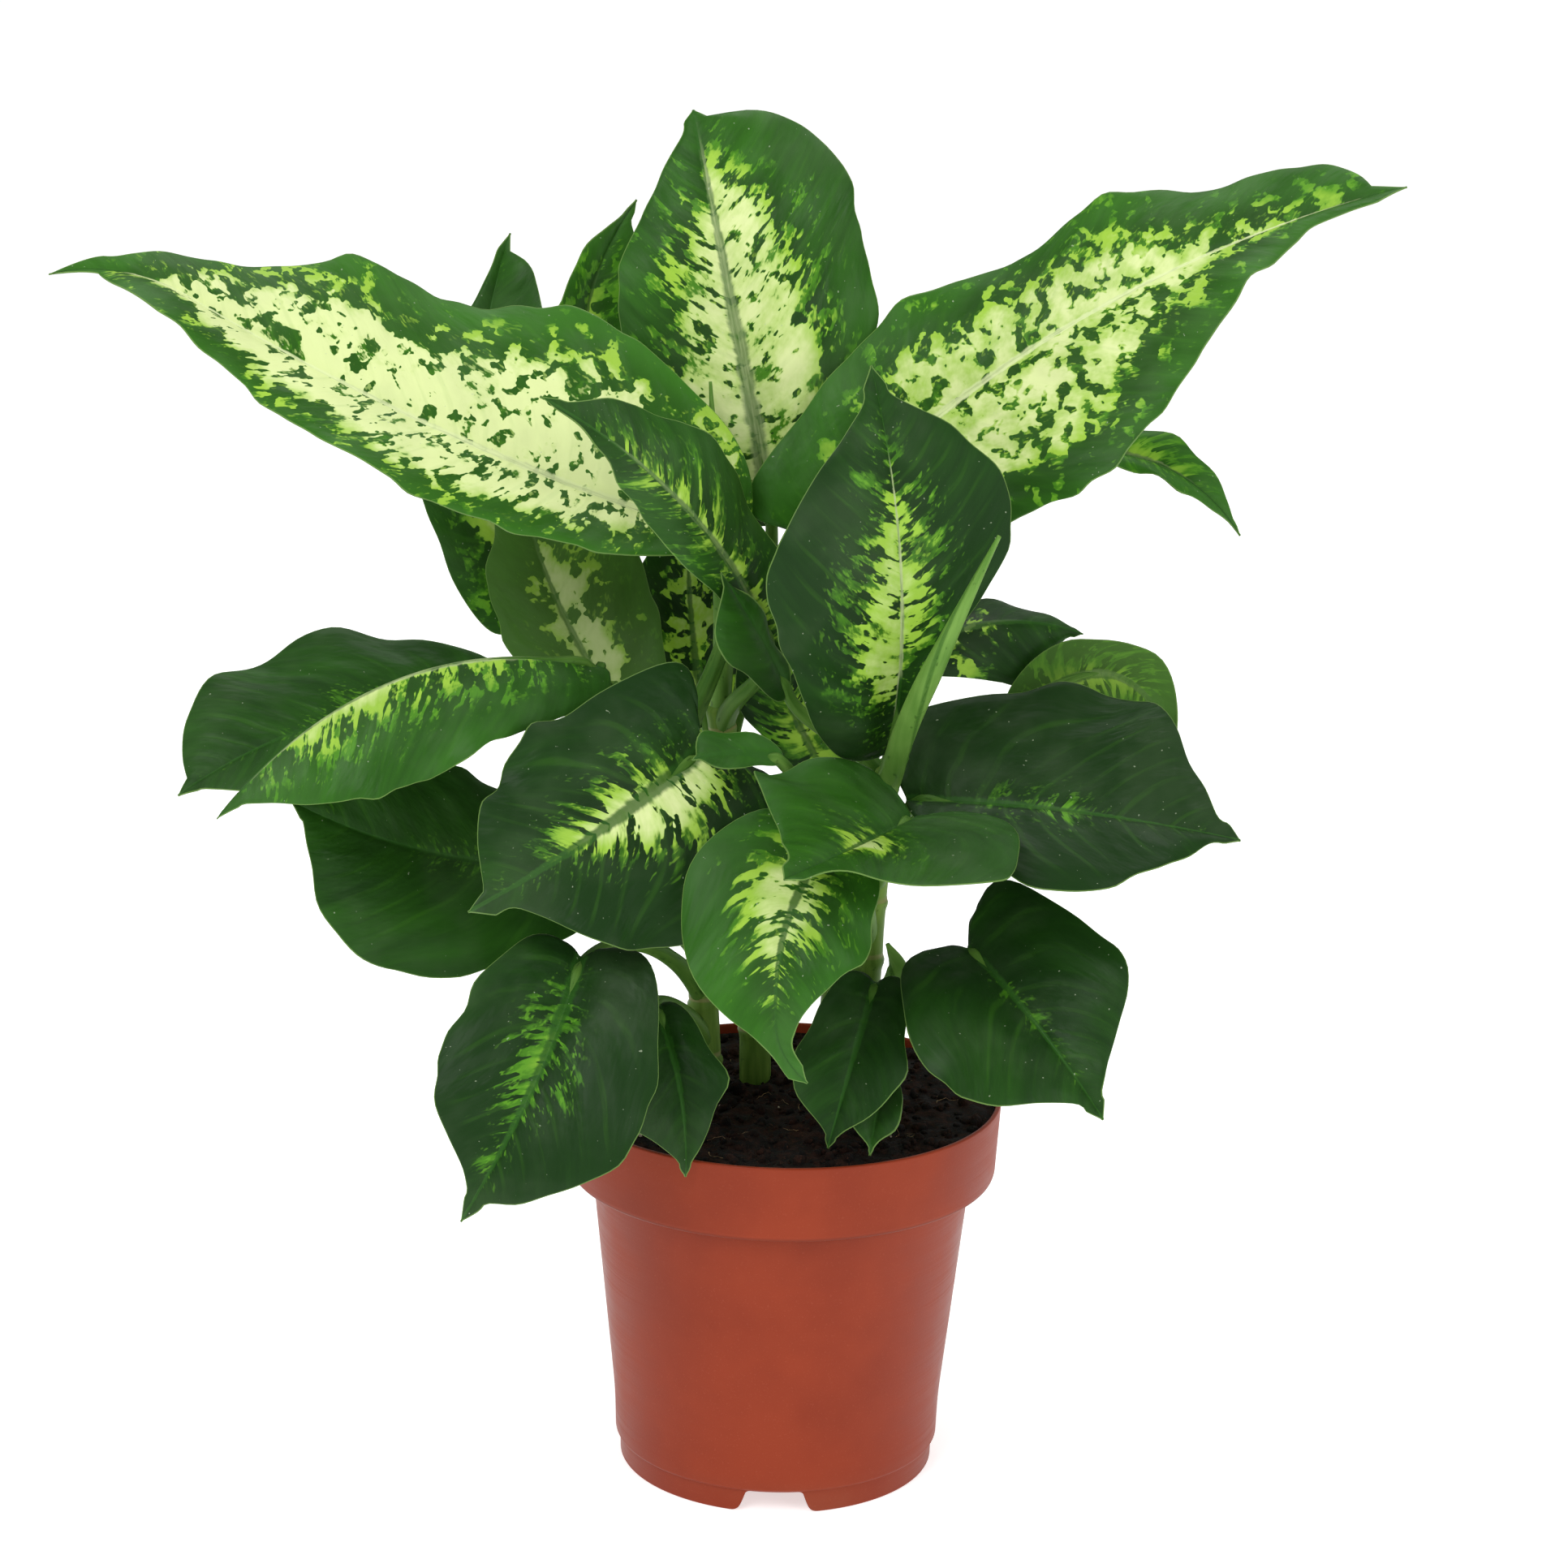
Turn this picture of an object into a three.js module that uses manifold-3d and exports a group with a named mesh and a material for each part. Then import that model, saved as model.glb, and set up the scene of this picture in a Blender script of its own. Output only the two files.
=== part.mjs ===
// Potted dieffenbachia: several leafy canes in a plastic nursery pot full of soil.
// Millimetres, +Z up. Points are measured from the pot's axis on the ground; the whole is then
// shifted so that the origin is the middle of its footprint. -Y is the front.
import * as THREE from 'three';
import { mergeVertices } from 'three/addons/utils/BufferGeometryUtils.js';
import Module from 'manifold-3d';

const wasm = await Module();
wasm.setup();

// Driving dimensions
const AXIS_AT = [18.5, -23]; // where the pot's axis stands from the middle of the footprint
const GAP = 0.3; // clearance between pieces that touch
const MERGE_TOLERANCE = 1e-4;

const POT_SEGMENTS = 36;
const POT_HEIGHT = 105.7;
const RIM_RADIUS = 60;
const WALL = 1.4;
const EDGE = 0.8; // rounding of the pot's edges
const COLLAR_BOTTOM = 84.7;
const COLLAR_FOOT_RADIUS = 58.7;
const WALL_TOP_RADIUS = 52.2;
const WALL_FOOT_RADIUS = 44.9;
const FOOT_HEIGHT = 6.4;
const FOOT_RADIUS = 43.5;
const FOOT_RING = 2.6;
const FLOOR_UNDERSIDE = 7;
const NOTCHES = 3;
const NOTCH_TOP_WIDTH = 15.4;
const NOTCH_FOOT_WIDTH = 20;
const DRAIN_HOLES = 6;
const DRAIN_RADIUS = 4;
const DRAIN_RING = 27;
const DRAIN_SIDES = 8;
const CUT_EXTRA = 1; // how far a cutter runs past what it cuts

const SOIL_SEGMENTS = 24;
const SOIL_EDGE = 103.6;
const SOIL_MOUND = 1.5;
const SOIL_LUMP = 1.1;
const SOIL_SEED = 7;
const SOIL_CLEARANCE = 0.7; // from the pot's wall, whose flat facets come inwards
const SOIL_RINGS = [0.86, 0.62, 0.38, 0.14]; // radii of the lumpy rings, as shares of the rim's
const NOISE_FACTOR = 16807;
const NOISE_RANGE = 2147483647;

const CANE_SIDES = 8;
const CANE_FOOT = 74; // height of the canes' lower ends, in their holes
const CANE_NODE_STEP = 17;
const CANE_NODE_SWELL = 0.45;
const CANE_ROOM_STEPS = 8;
const CANE_TOP = 0.6; // how far a cane's top is rounded in
const CANE_SAMPLE = 4; // height over which a cane's direction is taken

const BLADE = 0.9; // blade thickness
const RIB_DEPTH = 1.1; // how far the midrib stands out below the blade at its base
const MIN_HALF_WIDTH = 0.7;
const LOBE_FADE = 0.13; // how far along the leaf its base lobes reach
const CURL = THREE.MathUtils.degToRad(-25); // how far a half blade turns down towards its margin
const VEIN_SWEEP = 0.18; // how far the side veins lean to the tip
const WAVE_OFFSET = 2; // how far the left margin's waves run ahead of the right one's
const WAVE_STRETCH = 0.8; // how far a margin goes outwards where its wave rises
const DRIP_WIDTH = 0.1; // half width of a blade's drawn-out point, as a share of its most
const HOOK_FROM = 0.8; // where along the leaf a hooked tip starts to bend
const EVEN_ROWS = 0.4; // share of even spacing in a blade's rows, which otherwise crowd to its ends
const TANGENT_STEP = 0.01;

const PETIOLE_ROOT = 3.1;
const PETIOLE_END = 1.6;
const PETIOLE_TAPER = 0.6;
const PETIOLE_JOIN = 0.05; // where on the midrib it ends
const PETIOLE_LEAVE = 0.4; // how far it keeps its first and last direction, as shares of its length
const PETIOLE_ARRIVE = 0.35;
const PETIOLE_LIFT = 0.5; // how steeply it comes up to the blade
const PETIOLE_SIDES = 5;
const PETIOLE_STEP = 16;
const SHOOT_STEPS = 9;

// Rolled young leaves: where each one leaves its cane, the points it passes, and its radius there
const SPEARS = {
  spear_right: {
    cane: 'cane_right', rise: 179,
    points: [[25, -18, 195], [29, -32, 215], [38, -46, 242], [45, -51, 259.5], [51, -55, 274]],
    radius: [3, 3, 3.2, 3, 1.7, 0.5],
  },
  spear_centre: {
    cane: 'cane_centre', rise: 208, points: [[-19, 7, 240], [-21, 9, 268], [-23.5, 13, 300]],
    radius: [3, 2.6, 1.9, 0.4],
  },
};

// Sprouts: buds on thin stalks, given like the rolled leaves
const SPROUTS = {
  sprout_upper: {
    cane: 'cane_right', rise: 138, points: [[27.5, -15, 142], [30, -16, 147.5], [27, -16, 154]],
    radius: [1.5, 1.3, 2.9, 0.5],
  },
  sprout_lower: {
    cane: 'cane_right', rise: 133, points: [[29, -15.5, 137], [32.5, -18, 142], [36.5, -18, 149.5]],
    radius: [1.5, 1.4, 2.1, 0.6],
  },
};

// Canes: points along each one's axis, and its radius at the soil and at its top
const CANES = {
  cane_left: { points: [[-19, 2, 0], [-24, -1, 150], [-33, -9, 204]], radius: [4.4, 3.4] },
  cane_centre: { points: [[-7, 15, 0], [-10, 14, 150], [-20, 8, 214]], radius: [4.6, 3.6] },
  cane_right: { points: [[20, -6, 0], [22, -6, 150], [25, -8, 203]], radius: [4.3, 4.1] },
  cane_back: { points: [[12, 34, 0], [16, 36, 150], [20, 38, 226]], radius: [4.6, 3.6] },
};

// Leaves. base, mid and tip are on the midrib; left and right are the margins beside mid, seen
// from the upper face with the tip pointing away. cane and rise say where the petiole starts.
// The optional values are explained at LEAF_DEFAULTS.
const LEAVES = {
  leaf_top_left: {
    cane: 'cane_left', rise: 198, base: [-14, 0, 259], mid: [-98, -12, 292], tip: [-189, -20, 345],
    left: [-97, -33, 277], right: [-106, 16, 328], wave: [3, 2.9, 3.2], point: [0.5, 1],
    peak: [0.42, 0.3], round: [0.8, 0.5], lobe: [0.4, 0.25], twist: 40, cup: 30, drip: 0.07,
    hook: [-4, 4, -16], rows: 14,
  },
  leaf_top_centre: {
    cane: 'cane_centre', rise: 200, base: [-6, 20, 262], mid: [-18, 26, 317], tip: [-30, 46, 368],
    left: [-49, 24, 318], right: [21, 22, 320], wave: [1.6, 3, 1.1], point: [1, 0.33],
    keel: -20, peak: [0.35, 0.5], drip: 0.03, rows: 13,
  },
  leaf_top_right: {
    cane: 'cane_back', rise: 190, base: [5, 6, 262], mid: [67, 4, 316], tip: [156, 0, 357],
    left: [56, 22, 335], right: [84, -26, 293], wave: [2.8, 3, 1.1], point: [0.45, 1.8],
    peak: [0.34, 0.34], round: [0.25, 0.5], lobe: [0.9, 0.5], twist: -40, cup: 30, rows: 13,
  },
  leaf_front_upright: {
    cane: 'cane_right', rise: 192, base: [26, -18, 208], mid: [27, -38, 262], tip: [18, -40, 314],
    left: [-6, -50, 263], right: [54, -40, 272], wave: [1, 2, 0], peak: [0.45, 0.6],
    round: [0.5, 3], lobe: [0.3, 0.2], rows: 12,
  },
  leaf_back_left: {
    cane: 'cane_centre', rise: 150, base: [-74, 52, 230], mid: [-85, 58, 260], tip: [-81, 74, 330],
    left: [-103, 54, 253], right: [-68, 54, 260], wave: [1.4, 2, 0], point: [1.3, 0.45],
    peak: [0.3, 0.6], round: [0.3, 0.6], lobe: [0.9, 0.5], rows: 9,
  },
  leaf_behind_top: {
    cane: 'cane_back', rise: 176, base: [-53, 48, 273], mid: [-58, 46, 314], tip: [-45, 50, 343],
    left: [-66, 40, 313], right: [-41, 50, 305], wave: [1.4, 2, 0], rows: 8, columns: 4,
  },
  leaf_front_left: {
    cane: 'cane_centre', rise: 206, base: [-5, -14, 232], mid: [-30, -34, 277], tip: [-65, -44, 305],
    left: [-39, -40, 273], right: [-17, -22, 284], wave: [1.4, 2.4, 0], point: [2, 1],
  },
  leaf_left_underside: {
    cane: 'cane_centre', rise: 160, base: [-41, 8, 204], mid: [-64, 22, 237], tip: [-77, 44, 273],
    left: [-84, 24, 239], right: [-32, 16, 233], wave: [1, 2, 0], rows: 8, columns: 4,
  },
  leaf_inner: {
    cane: 'cane_back', rise: 150, base: [-23, 24, 203], mid: [-28, 30, 232], tip: [-29, 38, 265],
    left: [-44, 34, 231], right: [-8, 30, 232], wave: [1, 2, 0], rows: 8, columns: 4,
  },
  leaf_left_upper: {
    cane: 'cane_left', rise: 172, base: [-72, -7, 215], mid: [-116, -21, 215], tip: [-159, -38, 197],
    left: [-114, -46, 201], right: [-134, -2, 230], wave: [2, 3, 0], point: [0.95, 0.6],
    round: [0.55, 0.8],
  },
  leaf_left_folded: {
    cane: 'cane_left', rise: 190, base: [-49, -18, 229], mid: [-103, -48, 231], tip: [-145, -66, 199],
    left: [-97, -62, 207], right: [-110, -36, 217], wave: [1.2, 3, 0],
  },
  leaf_left_lower: {
    cane: 'cane_left', rise: 145, base: [-56, -10, 172], mid: [-95, -24, 179], tip: [-130, -34, 195],
    left: [-96, -43, 151], right: [-90, -8, 198], wave: [1.4, 3, 0], point: [0.9, 0.9],
    round: [0.45, 0.45],
  },
  leaf_centre_left: {
    cane: 'cane_left', rise: 176, base: [-24, -32, 210], mid: [-46, -52, 196], tip: [-81, -70, 177],
    left: [-32, -66, 164], right: [-63, -45, 220], wave: [2, 3, 0], point: [1.4, 0.7],
    peak: [0.3, 0.34], round: [0.4, 0.25], lobe: [0.8, 0.9], drip: 0.08,
  },
  leaf_low_left: {
    cane: 'cane_left', rise: 132, base: [-53, -52, 160], mid: [-61, -70, 139], tip: [-82, -80, 97],
    left: [-26, -70, 147], right: [-89, -74, 139], wave: [1.4, 2, 0], point: [1, 1.1],
    round: [0.4, 0.45], drip: 0.08,
  },
  leaf_low_left_small: {
    cane: 'cane_left', rise: 118, base: [-34, -38, 142], mid: [-28, -50, 128], tip: [-25, -60, 103],
    left: [-17, -48, 129], right: [-45, -60, 127], wave: [1, 2, 0], rows: 7, columns: 4,
  },
  leaf_low_centre: {
    cane: 'cane_right', rise: 150, base: [10, -52, 191], mid: [0, -70, 176], tip: [0, -84, 137],
    left: [23, -68, 181], right: [-27, -66, 181], wave: [1.4, 2, 0], point: [1.7, 1.5],
    peak: [0.25, 0.28], hook: [4, 0, 0],
  },
  leaf_right_wavy: {
    cane: 'cane_right', rise: 166, base: [32, -30, 193], mid: [18, -60, 194], tip: [-1, -92, 194],
    left: [59, -53, 189], right: [-8, -52, 209], wave: [2.4, 2.4, 0], point: [2.3, 1.6],
    peak: [0.28, 0.38],
  },
  leaf_right_large: {
    cane: 'cane_right', rise: 174, base: [31, -12, 193], mid: [70, -26, 195], tip: [118, -34, 190],
    left: [74, 4, 221], right: [67, -50, 181], wave: [1.2, 3, 0], round: [0.35, 0.8],
    lobe: [0.7, 0.2],
  },
  leaf_right_behind: {
    cane: 'cane_back', rise: 164, base: [31, 12, 228], mid: [54, 18, 235], tip: [79, 24, 231],
    left: [50, 30, 237], right: [53, 14, 218], wave: [1, 2, 0], rows: 7, columns: 4,
  },
  leaf_right_turned: {
    cane: 'cane_back', rise: 155, base: [62, 8, 213], mid: [85, 11, 223], tip: [106, 6, 198],
    left: [80, 6, 206], right: [92, 13, 232], wave: [1, 2, 0], round: [0.4, 0.3],
    lobe: [0.5, 0.8], rows: 8, columns: 4,
  },
  leaf_right_slender: {
    cane: 'cane_back', rise: 198, base: [70, 38, 278], mid: [99, 34, 276], tip: [121, 30, 258],
    left: [103, 40, 282], right: [97, 28, 274], wave: [0.8, 2, 0], rows: 7, columns: 4,
  },
  leaf_low_right: {
    cane: 'cane_right', rise: 124, base: [48, -24, 156], mid: [63, -44, 145], tip: [83, -62, 122],
    left: [85, -38, 161], right: [30, -50, 140], wave: [1.4, 2, 0], peak: [0.36, 0.36],
    round: [0.3, 0.42], lobe: [0.8, 0.5], drip: 0.07, spread: 1.8, rows: 12,
  },
  leaf_low_front: {
    cane: 'cane_right', rise: 116, base: [24, -28, 147], mid: [18, -44, 130], tip: [12, -50, 108],
    left: [33, -46, 136], right: [2, -44, 129], wave: [1, 2, 0], round: [0.35, 0.4], spread: 1.4,
    rows: 7, columns: 4,
  },
  leaf_low_tip: {
    cane: 'cane_right', rise: 109, base: [28, -30, 126], mid: [25, -44, 117], tip: [23, -52, 107],
    left: [31, -47, 117], right: [18, -48, 117], wave: [0.6, 2, 0], spread: 1.5,
    rows: 6, columns: 4,
  },
  leaf_small_green: {
    cane: 'cane_centre', rise: 176, base: [-2, -36, 209.5], mid: [-14, -44, 213.5], tip: [-25, -56, 214.5],
    left: [-17, -48, 210.5], right: [-13, -34, 216.5], wave: [0.6, 2, 0], rows: 6, columns: 4,
  },
  leaf_inner_narrow: {
    cane: 'cane_right', rise: 197, base: [-1, -14, 222], mid: [-10, -24, 242], tip: [-19, -32, 258],
    left: [-17, -28, 234], right: [-7, -22, 243], wave: [0.8, 2, 0], rows: 6, columns: 4,
  },
  leaf_inner_dark: {
    cane: 'cane_right', rise: 190, base: [10, 8, 194], mid: [-1, 4, 216], tip: [-9, 0, 246],
    left: [-13, 5, 212], right: [18, 2, 218], wave: [0.8, 2, 0], rows: 7, columns: 4,
  },
  leaf_back_upper_right: {
    cane: 'cane_back', rise: 208, base: [34, 66, 252], mid: [50, 98, 268], tip: [66, 138, 262],
    left: [28, 104, 264], right: [72, 88, 262], wave: [1.6, 3, 0], rows: 8, columns: 4,
  },
  leaf_back_upper_left: {
    cane: 'cane_back', rise: 216, base: [-12, 66, 250], mid: [-34, 94, 264], tip: [-62, 128, 256],
    left: [-56, 78, 256], right: [-14, 112, 260], wave: [1.6, 3, 1], rows: 8, columns: 4,
  },
  leaf_back_low_right: {
    cane: 'cane_back', rise: 133, base: [46, 58, 190], mid: [68, 84, 190], tip: [92, 116, 172],
    left: [48, 98, 186], right: [88, 68, 186], wave: [1.6, 3, 2], rows: 8, columns: 4,
  },
  leaf_back_low_left: {
    cane: 'cane_back', rise: 139, base: [-26, 56, 186], mid: [-44, 84, 190], tip: [-64, 118, 170],
    left: [-66, 68, 184], right: [-20, 96, 186], wave: [1.6, 3, 3], rows: 8, columns: 4,
  },
  leaf_back_low: {
    cane: 'cane_back', rise: 124, base: [6, 64, 160], mid: [2, 92, 154], tip: [-4, 124, 128],
    left: [-26, 88, 148], right: [30, 90, 148], wave: [1.6, 3, 4], rows: 8, columns: 4,
  },
};

// What a leaf has unless it says otherwise
const LEAF_DEFAULTS = {
  point: [1.15, 1.15], // how the left and right margins run in to the tip: above 1 they draw in
  round: [0.55, 0.55], // how the left and right margins leave the base: low is full and round
  peak: null, // where the left and right halves are widest, when that isn't beside mid
  cup: 18, // how far the halves rise at the base
  keel: 10, // how far they rise at the tip
  twist: 0, // turn about the midrib from base to tip
  lobe: [0.55, 0.55], // how far each half of the base runs back in a round lobe
  spread: 0.6, // how far the petiole leaves its cane outwards rather than upwards
  drip: 0.05, // how long the drawn-out point is, as a share of the blade
  hook: [0, 0, 0], // how far the tip bends away from the midrib's curve
  rows: 10,
  columns: 6,
};

// Solids
function geometryFromRings(rings) {
  const count = rings[0].length;
  const half = count / 2;
  const positions = rings.flat().flatMap((p) => [p.x, p.y, p.z]);
  const index = [];
  for (let i = 0; i + 1 < rings.length; i += 1) {
    for (let k = 0; k < count; k += 1) {
      const next = (k + 1) % count;
      const a = i * count + k;
      const b = i * count + next;
      const c = (i + 1) * count + k;
      const d = (i + 1) * count + next;
      if (k < half) index.push(a, b, d, a, d, c);
      else index.push(a, b, c, b, d, c);
    }
  }
  const last = (rings.length - 1) * count;
  for (let k = 0; k + 1 < half; k += 1) {
    const opposite = count - 1 - k;
    index.push(k, opposite, k + 1, k + 1, opposite, opposite - 1);
    index.push(last + k, last + k + 1, last + opposite, last + k + 1, last + opposite - 1, last + opposite);
  }
  const geometry = new THREE.BufferGeometry();
  geometry.setAttribute('position', new THREE.Float32BufferAttribute(positions, 3));
  geometry.setIndex(index);
  return geometry;
}

function toManifold(geometry) {
  const bare = geometry.clone();
  bare.deleteAttribute('normal');
  bare.deleteAttribute('uv');
  const merged = mergeVertices(bare, MERGE_TOLERANCE);
  const solid = new wasm.Manifold(new wasm.Mesh({
    numProp: 3,
    vertProperties: merged.attributes.position.array,
    triVerts: new Uint32Array(merged.index.array),
  }));
  return solid.volume() < 0 ? flipped(merged) : solid;
}

function flipped(geometry) {
  const triangles = new Uint32Array(geometry.index.array);
  for (let i = 0; i < triangles.length; i += 3) {
    const first = triangles[i];
    triangles[i] = triangles[i + 1];
    triangles[i + 1] = first;
  }
  return new wasm.Manifold(new wasm.Mesh({
    numProp: 3,
    vertProperties: geometry.attributes.position.array,
    triVerts: triangles,
  }));
}

function toGeometry(solid) {
  const mesh = solid.getMesh();
  const geometry = new THREE.BufferGeometry();
  geometry.setAttribute('position', new THREE.BufferAttribute(new Float32Array(mesh.vertProperties), 3));
  geometry.setIndex(new THREE.BufferAttribute(new Uint32Array(mesh.triVerts), 1));
  geometry.computeVertexNormals();
  return geometry;
}

function biggestPiece(solid) {
  const pieces = solid.decompose();
  return pieces.reduce((best, piece) => (piece.volume() > best.volume() ? piece : best));
}

// A tube of varying radius along a curve
function tube(curve, radiusAt, steps, sides) {
  const frames = curve.computeFrenetFrames(steps, false);
  const rings = [];
  for (let i = 0; i <= steps; i += 1) {
    const t = i / steps;
    const centre = curve.getPointAt(t);
    const radius = radiusAt(t);
    const ring = [];
    for (let k = 0; k < sides; k += 1) {
      const angle = (2 * Math.PI * k) / sides;
      ring.push(centre.clone()
        .addScaledVector(frames.normals[i], radius * Math.cos(angle))
        .addScaledVector(frames.binormals[i], radius * Math.sin(angle)));
    }
    rings.push(ring);
  }
  return toManifold(geometryFromRings(rings));
}

// Canes
const vector = (p) => new THREE.Vector3(...p);

function caneCurve(name, extra = 0) {
  const points = CANES[name].points.map(vector);
  points[0].z = CANE_FOOT - extra;
  points[2].z += extra;
  return new THREE.CatmullRomCurve3(points);
}

function caneRadius(name, t) {
  const [foot, top] = CANES[name].radius;
  return foot + (top - foot) * t;
}

function canePoint(name, height) {
  const curve = caneCurve(name);
  let low = 0;
  let high = 1;
  for (let i = 0; i < 24; i += 1) {
    const t = (low + high) / 2;
    if (curve.getPointAt(t).z < height) low = t;
    else high = t;
  }
  return curve.getPointAt(low);
}

function caneSteps(name) {
  return 2 * Math.round(caneCurve(name).getLength() / CANE_NODE_STEP);
}

function caneSolid(name) {
  const steps = caneSteps(name);
  return tube(caneCurve(name), (t) => {
    const swell = Math.round(t * steps) % 2 === 1 ? CANE_NODE_SWELL : 0;
    const dome = t === 1 ? CANE_TOP : 1;
    return (caneRadius(name, t) + swell) * dome;
  }, steps, CANE_SIDES);
}

// The room that a cane takes up, with clearance: what stands against it is cut back to this
function caneRoom(name) {
  const extra = CANE_NODE_SWELL + GAP;
  return tube(caneCurve(name, GAP), (t) => caneRadius(name, t) + extra, CANE_ROOM_STEPS, CANE_SIDES);
}

// Leaves
const clamp01 = (x) => Math.min(1, Math.max(0, x));
const radians = THREE.MathUtils.degToRad;

function leafShape(spec) {
  const leaf = { ...LEAF_DEFAULTS, ...spec };
  const base = vector(leaf.base);
  const mid = vector(leaf.mid);
  const tip = vector(leaf.tip);
  const hook = vector(leaf.hook);
  const widest = base.distanceTo(mid) / (base.distanceTo(mid) + mid.distanceTo(tip));

  function midrib(s) {
    const point = new THREE.Vector3()
      .addScaledVector(base, ((s - widest) * (s - 1)) / widest)
      .addScaledVector(mid, (s * (s - 1)) / (widest * (widest - 1)))
      .addScaledVector(tip, (s * (s - widest)) / (1 - widest));
    const bend = Math.max(0, (s - HOOK_FROM) / (1 - HOOK_FROM));
    return point.addScaledVector(hook, bend * bend);
  }

  function tangent(s) {
    return midrib(s + TANGENT_STEP).sub(midrib(s - TANGENT_STEP)).normalize();
  }

  const along = tangent(widest);
  const across = (p) => {
    const arm = vector(p).sub(mid);
    return arm.addScaledVector(along, -arm.dot(along));
  };
  const arms = [across(leaf.left), across(leaf.right)];
  const sideThere = arms[1].clone().normalize().sub(arms[0].clone().normalize()).normalize();
  const upThere = sideThere.clone().cross(along);
  const rise = [
    Math.atan2(arms[0].dot(upThere), -arms[0].dot(sideThere)),
    Math.atan2(arms[1].dot(upThere), arms[1].dot(sideThere)),
  ];
  const reach = arms.map((arm) => arm.length());
  const peaks = leaf.peak ?? [widest, widest];

  // A half blade's width at s, as a share of the most that it has
  function outline(s, half) {
    const peak = peaks[half];
    if (s < peak) return (1 - (1 - s / peak) ** 2) ** leaf.round[half];
    const blunt = (1 - clamp01((s - peak) / (1 - peak - leaf.drip)) ** 2) ** leaf.point[half];
    const drawn = DRIP_WIDTH * clamp01((1 - s) / leaf.drip);
    return Math.cbrt(blunt ** 3 + drawn ** 3);
  }

  function widthAt(s, half) {
    return outline(clamp01(s), half) / outline(widest, half);
  }

  // A point of the blade: s runs from base to tip, v from -1 at the left margin to 1 at the right
  function pointAt(s, v) {
    const half = v < 0 ? 0 : 1;
    const sign = v < 0 ? -1 : 1;
    const out = Math.abs(v);
    const direction = tangent(s);
    const turn = new THREE.Quaternion().setFromUnitVectors(along, direction);
    const roll = new THREE.Quaternion().setFromAxisAngle(direction, radians(leaf.twist) * (s - widest));
    const up = upThere.clone().applyQuaternion(turn).applyQuaternion(roll);
    const sideways = direction.clone().cross(up);
    const nearBase = clamp01(1 - s / widest) ** 2;
    const nearTip = clamp01((s - widest) / (1 - widest)) ** 2;
    const start = rise[half] + radians(leaf.cup) * nearBase + radians(leaf.keel) * nearTip - CURL / 2;
    const end = start + CURL * out;
    const width = Math.max(MIN_HALF_WIDTH, reach[half] * widthAt(s, half));
    const bow = width / (2 * Math.sin(CURL / 2)); // radius of the half blade's arc across
    const [waveHeight, waveCount, wavePhase] = leaf.wave;
    const turns = 2 * Math.PI * waveCount * s + wavePhase + (v < 0 ? WAVE_OFFSET : 0);
    const wave = waveHeight * out * out * Math.sin(Math.PI * clamp01(s)) * Math.sin(turns);
    const lobe = leaf.lobe[half] * Math.exp(-((s / LOBE_FADE) ** 2));
    return midrib(s)
      .addScaledVector(sideways, sign * (bow * (Math.sin(end) - Math.sin(start)) + WAVE_STRETCH * wave))
      .addScaledVector(up, bow * (Math.cos(start) - Math.cos(end)) + wave)
      .addScaledVector(direction, width * out * (VEIN_SWEEP * out - lobe));
  }
  return { leaf, midrib, tangent, pointAt };
}

function bladeSolid(shape) {
  const { rows, columns } = shape.leaf;
  const grid = [];
  for (let i = 0; i <= rows; i += 1) {
    const even = i / rows;
    const s = THREE.MathUtils.lerp(0.5 - 0.5 * Math.cos(Math.PI * even), even, EVEN_ROWS);
    const row = [];
    for (let j = 0; j <= columns; j += 1) row.push(shape.pointAt(s, (2 * j) / columns - 1));
    grid.push({ s, row });
  }
  const rings = grid.map(({ s, row }, i) => {
    const before = grid[Math.max(0, i - 1)].row;
    const after = grid[Math.min(rows, i + 1)].row;
    const top = [];
    const bottom = [];
    row.forEach((p, j) => {
      const lengthwise = after[j].clone().sub(before[j]);
      const crosswise = row[Math.min(columns, j + 1)].clone().sub(row[Math.max(0, j - 1)]);
      const normal = crosswise.cross(lengthwise).normalize();
      const rib = j === columns / 2 ? RIB_DEPTH * (1 - s) : 0;
      top.push(p.clone().addScaledVector(normal, BLADE / 2));
      bottom.push(p.clone().addScaledVector(normal, -BLADE / 2 - rib));
    });
    return [...top, ...bottom.reverse()];
  });
  return toManifold(geometryFromRings(rings));
}

function petioleSolid(shape) {
  const { leaf } = shape;
  const root = canePoint(leaf.cane, leaf.rise);
  const higher = canePoint(leaf.cane, leaf.rise + CANE_SAMPLE);
  const end = shape.midrib(PETIOLE_JOIN);
  const length = root.distanceTo(end);
  const arrive = shape.tangent(0).add(new THREE.Vector3(0, 0, PETIOLE_LIFT)).normalize();
  const outward = end.clone().sub(root).setZ(0).normalize();
  const leave = higher.sub(root).normalize().addScaledVector(outward, leaf.spread).normalize();
  const curve = new THREE.CubicBezierCurve3(
    root,
    root.clone().addScaledVector(leave, PETIOLE_LEAVE * length),
    end.clone().addScaledVector(arrive, -PETIOLE_ARRIVE * length),
    end,
  );
  const steps = Math.max(4, Math.round(length / PETIOLE_STEP));
  const radiusAt = (t) => THREE.MathUtils.lerp(PETIOLE_ROOT, PETIOLE_END, t ** PETIOLE_TAPER);
  return tube(curve, radiusAt, steps, PETIOLE_SIDES);
}

const caneRooms = Object.keys(CANES).map(caneRoom);

function besideCanes(solid) {
  return biggestPiece(caneRooms.reduce((rest, room) => rest.subtract(room), solid));
}

function leafSolid(spec) {
  const shape = leafShape(spec);
  return besideCanes(bladeSolid(shape).add(petioleSolid(shape)));
}

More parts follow.
